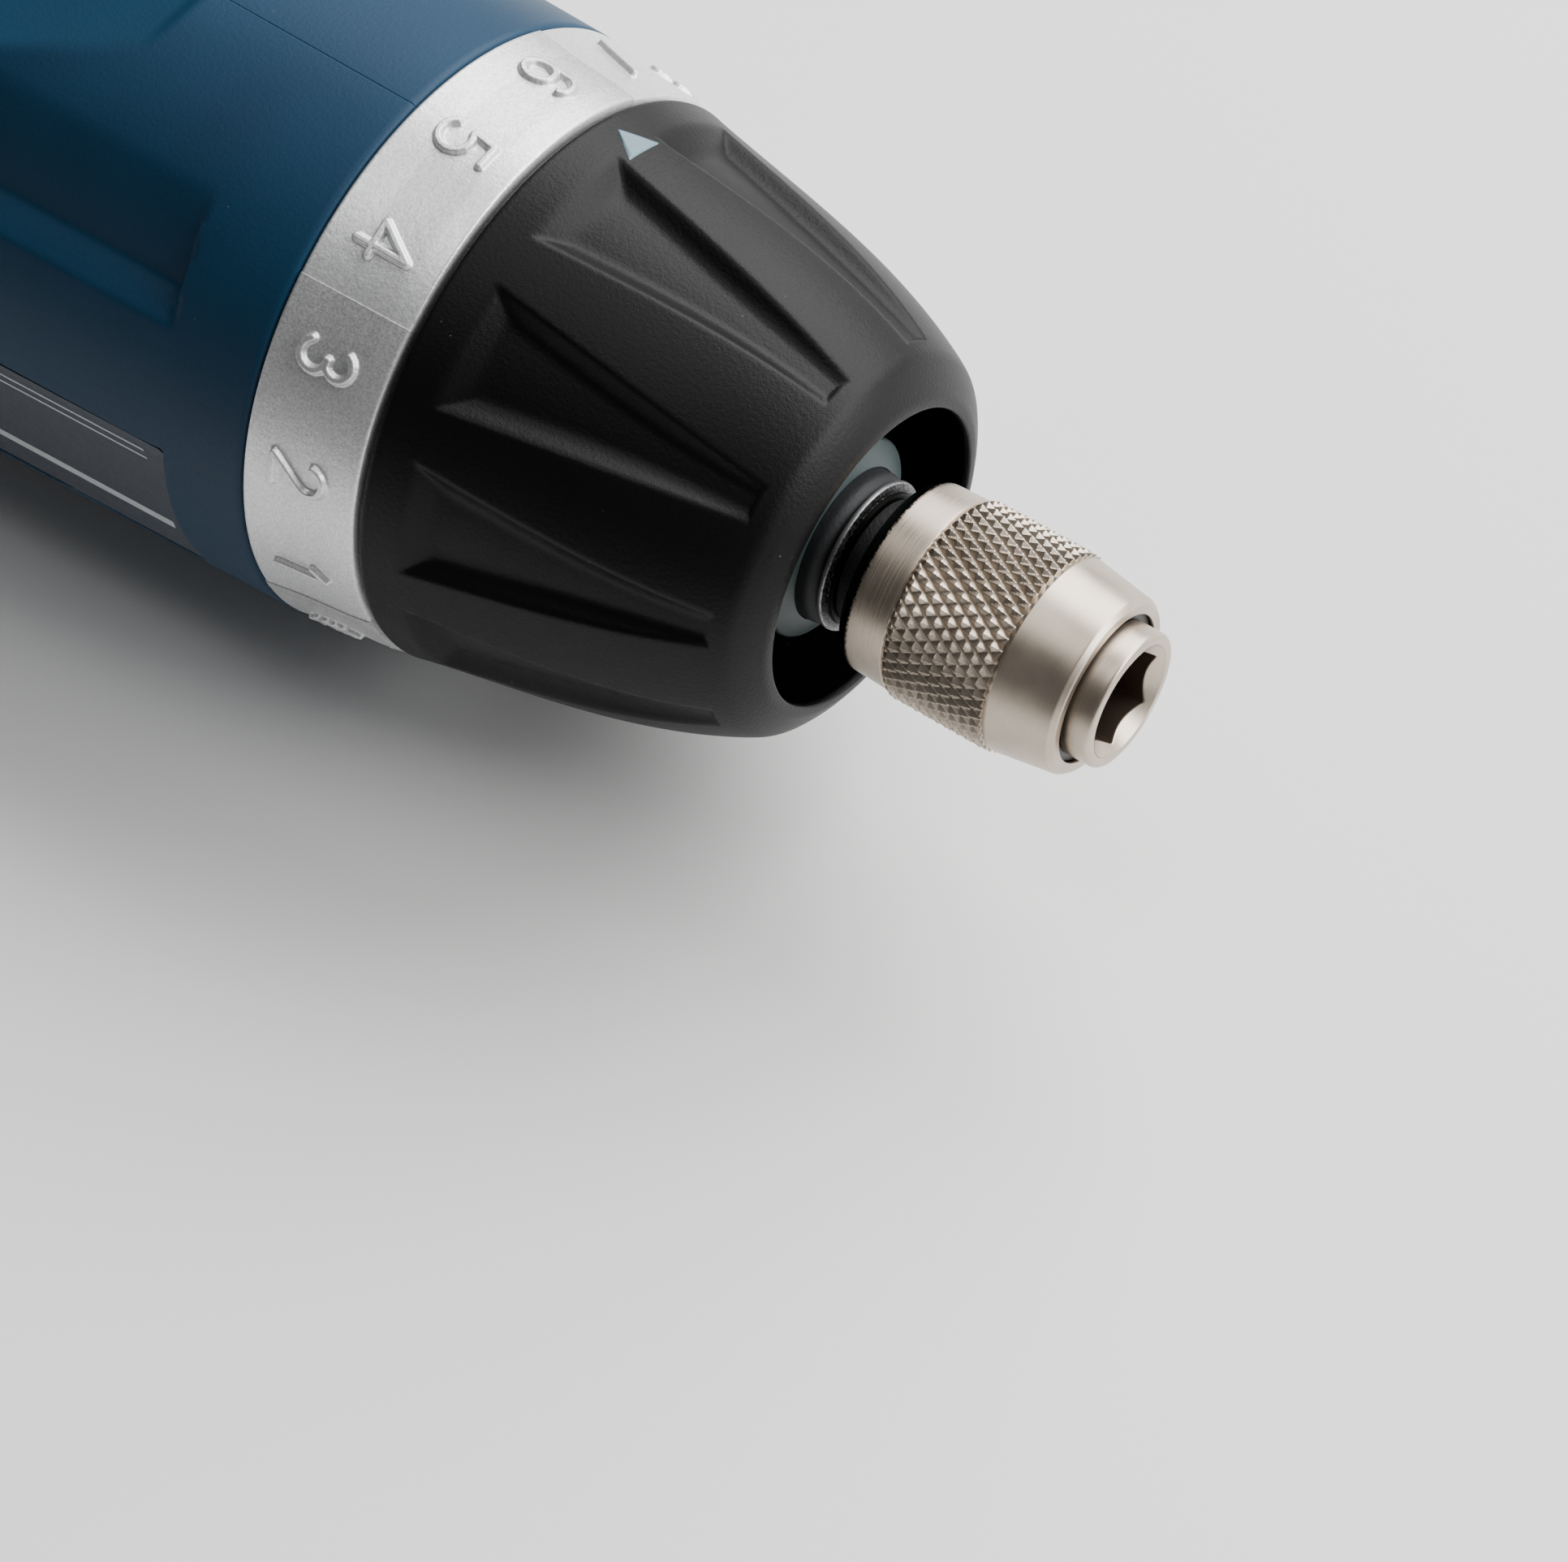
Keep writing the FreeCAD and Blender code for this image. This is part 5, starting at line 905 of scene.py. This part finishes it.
# %% Chuck body with its socket
SOCKET_TURN = 36.8
FLAT_HALF, CORNER_MOST, MOUTH = 3.225, 3.66, 4.1
body_turns = SOCKET_TURN + full_turn(360)
body_outer = outline([(44.0, 3.02), (38.3, 3.02), (38.3, 6.1), (40.3, 6.1), (40.3, 4.9), (53.2, 4.9), (53.2, 4.6),
                      (54.0, 4.6), (54.0, 4.9), (REACH, 4.9, 0.35), (REACH, MOUTH, 0.12)], 0.4, 0.06)
while body_outer[-1, 0] < 56.0:
    body_outer = body_outer[:-1]
socket_places = np.concatenate([np.linspace(56.08, 55.0, 28), np.linspace(54.7, 44.0, 24)])
socket_profile = np.stack([socket_places, MOUTH - (REACH - socket_places)], 1)
body_profile = np.concatenate([body_outer, socket_profile])
along, radius = np.hsplit(body_profile, 2)
flat = np.mod(body_turns - SOCKET_TURN, 60.0) - 30.0
hexagon = np.minimum(FLAT_HALF / np.cos(np.radians(flat)), CORNER_MOST)
is_socket = np.arange(len(body_profile)) >= len(body_outer)
body_radius = np.where(is_socket[:, None], higher(hexagon, radius, 0.06), radius)
piece("socket_nose", points_at(along, body_radius, body_turns), "spindle", "nickel", ["chuck_body"], crease=35.0)

# %% [markdown]
# ## Turned pieces inside the collar's opening
# The pale nose of the gear case, the dark bush, the bright retaining ring and the black spindle are turned pieces
# with small rounded edges. The spindle is steel under black grease.

# %% Nose, bush, ring and spindle
turned("case_and_nose", [
    (-19.5, 16.55), (-19.5, 18.4), (8.4, 18.4), (8.4, 17.6), (12.0, 17.6), (12.0, 16.4), (5.0, 16.4), (5.0, 9.8),
    (24.0, 9.8), (24.0, 7.4), (26.06, 7.4), (26.06, 7.0), (27.06, 7.0), (27.06, 7.4), (32.55, 7.4, 0.35),
    (33.4, 5.62, 0.1), (20.0, 5.62), (20.0, 4.9), (2.6, 4.9), (2.6, 16.55)],
    "casing", "pale_plastic", ["gear_case"])
turned("shaft_bush", [
    (20.0, 4.55), (20.0, 5.58), (34.1, 5.58, 0.9), (34.85, 5.1, 0.4), (34.85, 4.55)],
    "casing", "dark_bush", ["spindle_bush"])
turned("bright_ring", [
    (34.95, 4.22), (34.95, 5.55, 0.2), (35.33, 5.5, 0.15), (35.42, 4.9, 0.05), (35.78, 4.82, 0.1), (35.78, 4.22)],
    "spindle", "bright_steel", ["retaining_ring"])
turned("black_spindle", [
    (-0.7, 0.0), (-0.7, 3.5), (1.3, 3.5), (1.3, 4.5), (34.9, 4.5), (34.9, 4.2), (35.8, 4.2), (35.8, 4.5),
    (38.3, 4.5), (38.3, 3.0), (42.0, 3.0), (42.0, 0.0)], "spindle", "dark_steel", ["spindle"], finish="grease")

# %% [markdown]
# ## Tail
# The tail cap closes the casing with a large rounding, and the charging socket sits in its middle: a hole with a
# pin. Both are round, so they are turned like the pieces above.

# %% Tail cap and charging socket
turned("tail", [
    (CASING_REAR, 20.6, 0.2), (-156.0, 20.6, 5.5), (-156.0, 4.3, 0.4), (-153.4, 4.02), (-153.4, 15.1),
    (-144.5, 13.0), (-144.5, 17.9), (CASING_REAR, 17.9)], "casing", "collar_black", ["tail_cap"], arc_steps=14)
turned("charging_socket", [
    (-154.7, 0.0), (-154.7, 0.6, 0.2), (-149.0, 0.6), (-149.0, 2.0), (-156.0, 2.0, 0.3), (-156.0, 4.0, 0.2),
    (-153.4, 4.0), (-153.4, 5.3), (-147.0, 5.3), (-147.0, 0.0)], "casing", "switch_black", ["charge_socket"],
    columns=96)

# %% [markdown]
# ## Rocker and light
# The rocker dips in its middle and has a few ribs under each thumb place. Its side outline is stretched across the
# tool, and its edges are rounded with a bevel.

# %% Rocker
ROCKER_MIDDLE, ROCKER_HALF, ROCKER_SIDE, ROCKER_EDGE, ROCKER_FOOT = -50.0, 13.0, 5.5, 0.5, 17.9


def rocker_ribs(along):
    """Height of the ribs towards both ends of the rocker."""
    away = np.abs(along - ROCKER_MIDDLE)
    return 0.16 * unit(np.cos((away - 8.5) * 2 * math.pi / 1.5)) * ((away > 4.6) & (away < 12.0))


ends = np.array([0.0, 0.05, 0.15, 0.3, ROCKER_EDGE])
rocker_places = ROCKER_MIDDLE + np.concatenate([ends - ROCKER_HALF, np.linspace(-12.3, 12.3, 165),
                                                ROCKER_HALF - ends[::-1]])
rocker_sides = np.concatenate([ends - ROCKER_SIDE, np.linspace(-4.8, 4.8, 33), ROCKER_SIDE - ends[::-1]])
from_middle = np.abs(rocker_places - ROCKER_MIDDLE)
from_end = (ROCKER_HALF - from_middle)[:, None]
from_side = ROCKER_SIDE - np.abs(rocker_sides)
round_off = ROCKER_EDGE * (rolled(from_end, ROCKER_EDGE) + rolled(from_side, ROCKER_EDGE))
ribs = rocker_ribs(rocker_places)[:, None] * (1 - unit(np.abs(rocker_sides) / 4.6) ** 8)
top = np.interp(from_middle, (0.0, 1.0, ROCKER_HALF), (21.82, 21.9, 23.24))[:, None] + ribs - round_off
rocker_skins = [metres(rocker_places[:, None], rocker_sides, height) for height in (top, ROCKER_FOOT)]
shell("thumb_rocker", *rocker_skins, "rocker", "switch_black", ["rocker"], crease=45.0)

# %% [markdown]
# ## Grip pads
# Two soft pads lie in shallow beds on the sides of the waist and stand half a millimetre proud. Rows of slanted
# grooves keep the hand from slipping. The pad is a grid whose corners are bent into quarter circles.

# %% Grip pads
def rounded_field(half_along, half_up, corner, rows, columns):
    """A grid over a rectangle whose corner squares are bent into quarter discs."""
    first, second = np.meshgrid(np.linspace(-half_along, half_along, rows), np.linspace(-half_up, half_up, columns),
                                indexing="ij")
    past_first = unit((np.abs(first) - half_along + corner) / corner)
    past_second = unit((np.abs(second) - half_up + corner) / corner)
    bent_first = past_first * np.sqrt(1 - past_second ** 2 / 2)
    bent_second = past_second * np.sqrt(1 - past_first ** 2 / 2)
    return (np.where(past_first > 0, np.sign(first) * (half_along - corner + corner * bent_first), first),
            np.where(past_second > 0, np.sign(second) * (half_up - corner + corner * bent_second), second))


GAP = 0.15
PAD_PROUD, PAD_DEEP = 0.5, 1.25
GROOVE_PITCH, GROOVE_DEEP = 3.4, 0.42
field_along, field_up = rounded_field(GRIP_HALF[0] - GAP, GRIP_HALF[1] - GAP, 6.9, 241, 97)
pad_along, pad_up = field_along + GRIP_MIDDLE[0], field_up + GRIP_MIDDLE[1]
pad_border = grip_inside(pad_along, pad_up) - GAP
pad_proud = PAD_PROUD * np.sqrt(unit(1 - (1 - unit(pad_border / 0.9)) ** 2)) - 0.3 * (pad_border < 0.05)
groove = np.mod((pad_along + np.abs(pad_up - GRIP_MIDDLE[1]) * 0.7) / GROOVE_PITCH, 1.0)
groove = np.abs(groove - 0.5) * GROOVE_PITCH
pad_proud = pad_proud - GROOVE_DEEP * unit(1 - groove / 0.55) * unit((pad_border - 1.6) / 0.6)
for side, word in SIDES:
    skins = []
    for height in (casing_radius(pad_along) + pad_proud, casing_radius(pad_along) - PAD_DEEP):
        out = np.sqrt(np.maximum(height ** 2 - pad_up ** 2, 1.0))
        skins.append(metres(pad_along, -side * out, pad_up))
    shell("grip_pad_" + word, skins[0], skins[1][::2, ::2], "casing", "grip_rubber", ["grip_" + word], 2, 60.0)

# %% [markdown]
# ## Plate
# On the right side a slate-coloured plate is glued into its flat place. It stays free of words: two fine rules
# along its upper edge and one light bar near its lower edge are all that is printed on it. The print could be a
# picture, but three masks across the plate keep sharp at any size.

# %% Plate
tilt, plate_angle = math.atan(TAPER), math.radians(PLATE_TURN)
plate_out = np.array([0.0, -math.sin(plate_angle), math.cos(plate_angle)])
plate_down = np.array([0.0, -math.cos(plate_angle), -math.sin(plate_angle)])
plate_back = np.array([-math.cos(tilt), 0.0, 0.0]) + plate_out * math.sin(tilt)
plate_normal = np.array([math.sin(tilt), 0.0, 0.0]) + plate_out * math.cos(tilt)
plate_corner = np.array([PLATE_FRONT - REACH, 0.0, 0.0])
plate_long, plate_wide = PLATE_HALF[0] - GAP, PLATE_HALF[1] - GAP
plate_u, plate_v = rounded_field(plate_long, plate_wide, 1.3, 60, 30)
plate_border = np.minimum(plate_long - np.abs(plate_u), plate_wide - np.abs(plate_v))
plate_skins = []
for lift in (0.3 - 0.06 * (plate_border < 0.01), 0 * plate_border):
    plate_skins.append((plate_corner + plate_back * (plate_u + PLATE_HALF[0])[..., None]
                        + plate_down * plate_v[..., None] + plate_normal * (PLATE_LEVEL + lift)[..., None]) * MM)
slate = Finish("slate_print", Specular_IOR_Level=0.5)
slate_down = slate.node("ShaderNodeVectorMath", {"operation": "DOT_PRODUCT"}, {
    0: slate.spot, 1: tuple(plate_down)}, "Value") * 1000.0
slate_along = slate.axis("X") * 1000.0 + REACH
slate_print = slate_along.between(-37.6, -8.7, 0.1)
slate_rules = [slate_down.between(low, high, 0.05) for low, high in ((-5.55, -5.35), (-4.6, -4.4), (3.3, 4.1))]
slate_ink = (sum(slate_rules) * slate_print).clamped()
slate_wear = slate.noise(1.6, 4.0)
slate_base = slate.mix(slate_wear, colour(26, 36, 50), colour(36, 46, 60))
slate.set("Base Color", slate.mix(slate_ink * (0.75 + slate_wear * 0.25), slate_base, colour(196, 202, 204)))
slate.set("Roughness", 0.36 + (slate_wear - 0.5) * 0.2)
slate.bump(slate.noise(2.4, 2.0), 0.012)
finishes["slate_plate"] = slate.material
shell("blank_plate", *plate_skins, "casing", "slate_plate", ["rating_plate"])

# %% [markdown]
# ## Screws and charge light
# Five screws with cross recesses sit deep in their wells on the left half. The heads are turned about their own
# axes, and two crossed blocks are cut from each. The charge light is a short frosted rod with a domed end.

# %% Screws
CROSS_LONG, CROSS_HALF = 1.4, 0.26
screw_profile = outline([(-8.0, 0.0), (-8.0, 1.2), (9.0, 1.2), (9.0, 2.2), (10.8, 2.2, 0.7), (10.8, 0.0)],
                        0.5, 0.1)
screw_turns = np.radians(full_turn(48))
screw_depth, screw_reach = np.hsplit(screw_profile, 2)
screw_points, screw_faces = [], []
for along, height in SCREWS:
    grid = metres(along + screw_reach * np.cos(screw_turns), screw_depth,
                  height + screw_reach * np.sin(screw_turns))
    screw_faces.append(grid_faces(grid.shape, sum(len(done) for done in screw_points), (True, True)))
    screw_points.append(grid.reshape(-1, 3))
screws = piece("cross_screws", np.concatenate(screw_points), "casing", "dark_steel", ["housing_screws"],
               np.concatenate(screw_faces))
crosses = []
for along, height in SCREWS:
    for wide, tall in ((CROSS_LONG, CROSS_HALF), (CROSS_HALF, CROSS_LONG)):
        crosses.append(block("cross", (along - wide, 9.9, height - tall), (along + wide, 12.0, height + tall)))
cut_away(screws, crosses)

# %% Charge light
light_profile = outline([(15.4, 0.0), (15.4, 1.6), (20.35, 1.6, 0.3), (20.6, 0.9, 0.4), (20.6, 0.0)], 0.4, 0.1)
light_turns = np.radians(full_turn(64))
light_height, light_reach = np.hsplit(light_profile, 2)
piece("light_dome", metres(LIGHT_ALONG + light_reach * np.cos(light_turns), light_reach * np.sin(light_turns),
                           light_height), "casing", "light_pipe", ["charge_light"])

# %% [markdown]
# ## Springs
# The chuck spring and the clutch spring are coils of round wire. They shorten when the sleeve is drawn back or the
# collar is set higher; here each is a mesh tube with a mesh of its own.

# %% Springs
def coil(name, rear, front, radius, wire, turns, body, node):
    """A tube along a helix, with rounded ends."""
    share = np.linspace(0, 1, int(turns * 48))
    angle = 2 * math.pi * turns * share
    along = rear + wire / 2 + (front - rear - wire) * share
    around = np.linspace(0, 2 * math.pi, 16, endpoint=False)
    thick = wire / 2 * np.sqrt(np.clip(np.minimum(share, 1 - share) * turns * 12, 0.02, 1))
    reach = radius + thick[:, None] * np.cos(around)
    grid = points_at(along[:, None] + thick[:, None] * np.sin(around), reach, np.degrees(angle)[:, None])
    faces = grid_faces(grid.shape, closed=(False, True)).tolist()
    ends = np.arange(len(share) * len(around)).reshape(grid.shape[:2])
    faces += [ends[0, ::-1].tolist(), ends[-1].tolist()]
    return piece(name, grid, body, "spring_steel", [node], faces)


chuck_coil = coil("chuck_coil", 40.35, 47.45, 5.525, 0.7, 5.0, "spindle", "chuck_spring")
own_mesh(chuck_coil)
clutch_coil = coil("clutch_coil", 6.67, 15.15, 13.0, 1.5, 3.5, "casing", "clutch_spring")
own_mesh(clutch_coil)

# %% [markdown]
# ## Floor and light
# The tool lies on a plain pale floor. Most light comes from one broad soft box high up behind the tool, which draws
# the bright band along its top. A weak one overhead and one ahead of the chuck fill the shades, and a pale
# surrounding light does the rest.

# %% Floor
FLOOR_HALF, FLOOR_LEVEL = 0.45, -0.02301
floor_corners = [(x * FLOOR_HALF, y * FLOOR_HALF, FLOOR_LEVEL) for x, y in ((-1, -1), (1, -1), (1, 1), (-1, 1))]
floor_mesh = bpy.data.meshes.new("floor")
floor_mesh.from_pydata(floor_corners, [], [(0, 1, 2, 3)])
floor_object = placed("floor", floor_mesh)
paper = Finish("pale_paper", Roughness=0.9)
paper_cloud = paper.noise(0.004, 2.0)
paper.set("Base Color", paper.mix(paper_cloud, colour(238, 238, 238), colour(244, 244, 243)))
floor_mesh.materials.append(paper.material)
floor_object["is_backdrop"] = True


# %% Soft boxes and surrounding light
def soft_box(name, at, towards, wide, tall, watts):
    """A rectangular area light aimed at a point."""
    data = bpy.data.lights.new(name, "AREA")
    data.shape = "RECTANGLE"
    data.size, data.size_y = wide, tall
    data.energy = watts
    made = placed(name, data)
    made.location = at
    made.rotation_euler = (Vector(towards) - Vector(at)).to_track_quat("-Z", "Y").to_euler()
    print("soft box", name, watts, "W")


soft_box("back", (0.05, 0.64, 0.54), (-0.03, 0.0, 0.0), 1.0, 0.75, 19.5)
soft_box("above", (-0.12, -0.05, 0.82), (0.0, 0.0, 0.0), 0.4, 0.4, 1.5)
soft_box("front", (0.60, 0.30, 0.34), (-0.02, 0.0, 0.0), 0.5, 0.5, 7.5)
world = bpy.data.worlds.new("studio")
world.use_nodes = True
surround = world.node_tree.nodes["Background"].inputs
surround["Color"].default_value = (1.0, 1.0, 1.0, 1.0)
surround["Strength"].default_value = 0.1
bpy.context.scene.world = world

# %% Boxes
visual_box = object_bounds()
for word, box in (("CAD", cad_box), ("visual", visual_box)):
    print(word, "box", [[round(v * 1000, 2) for v in corner] for corner in box])
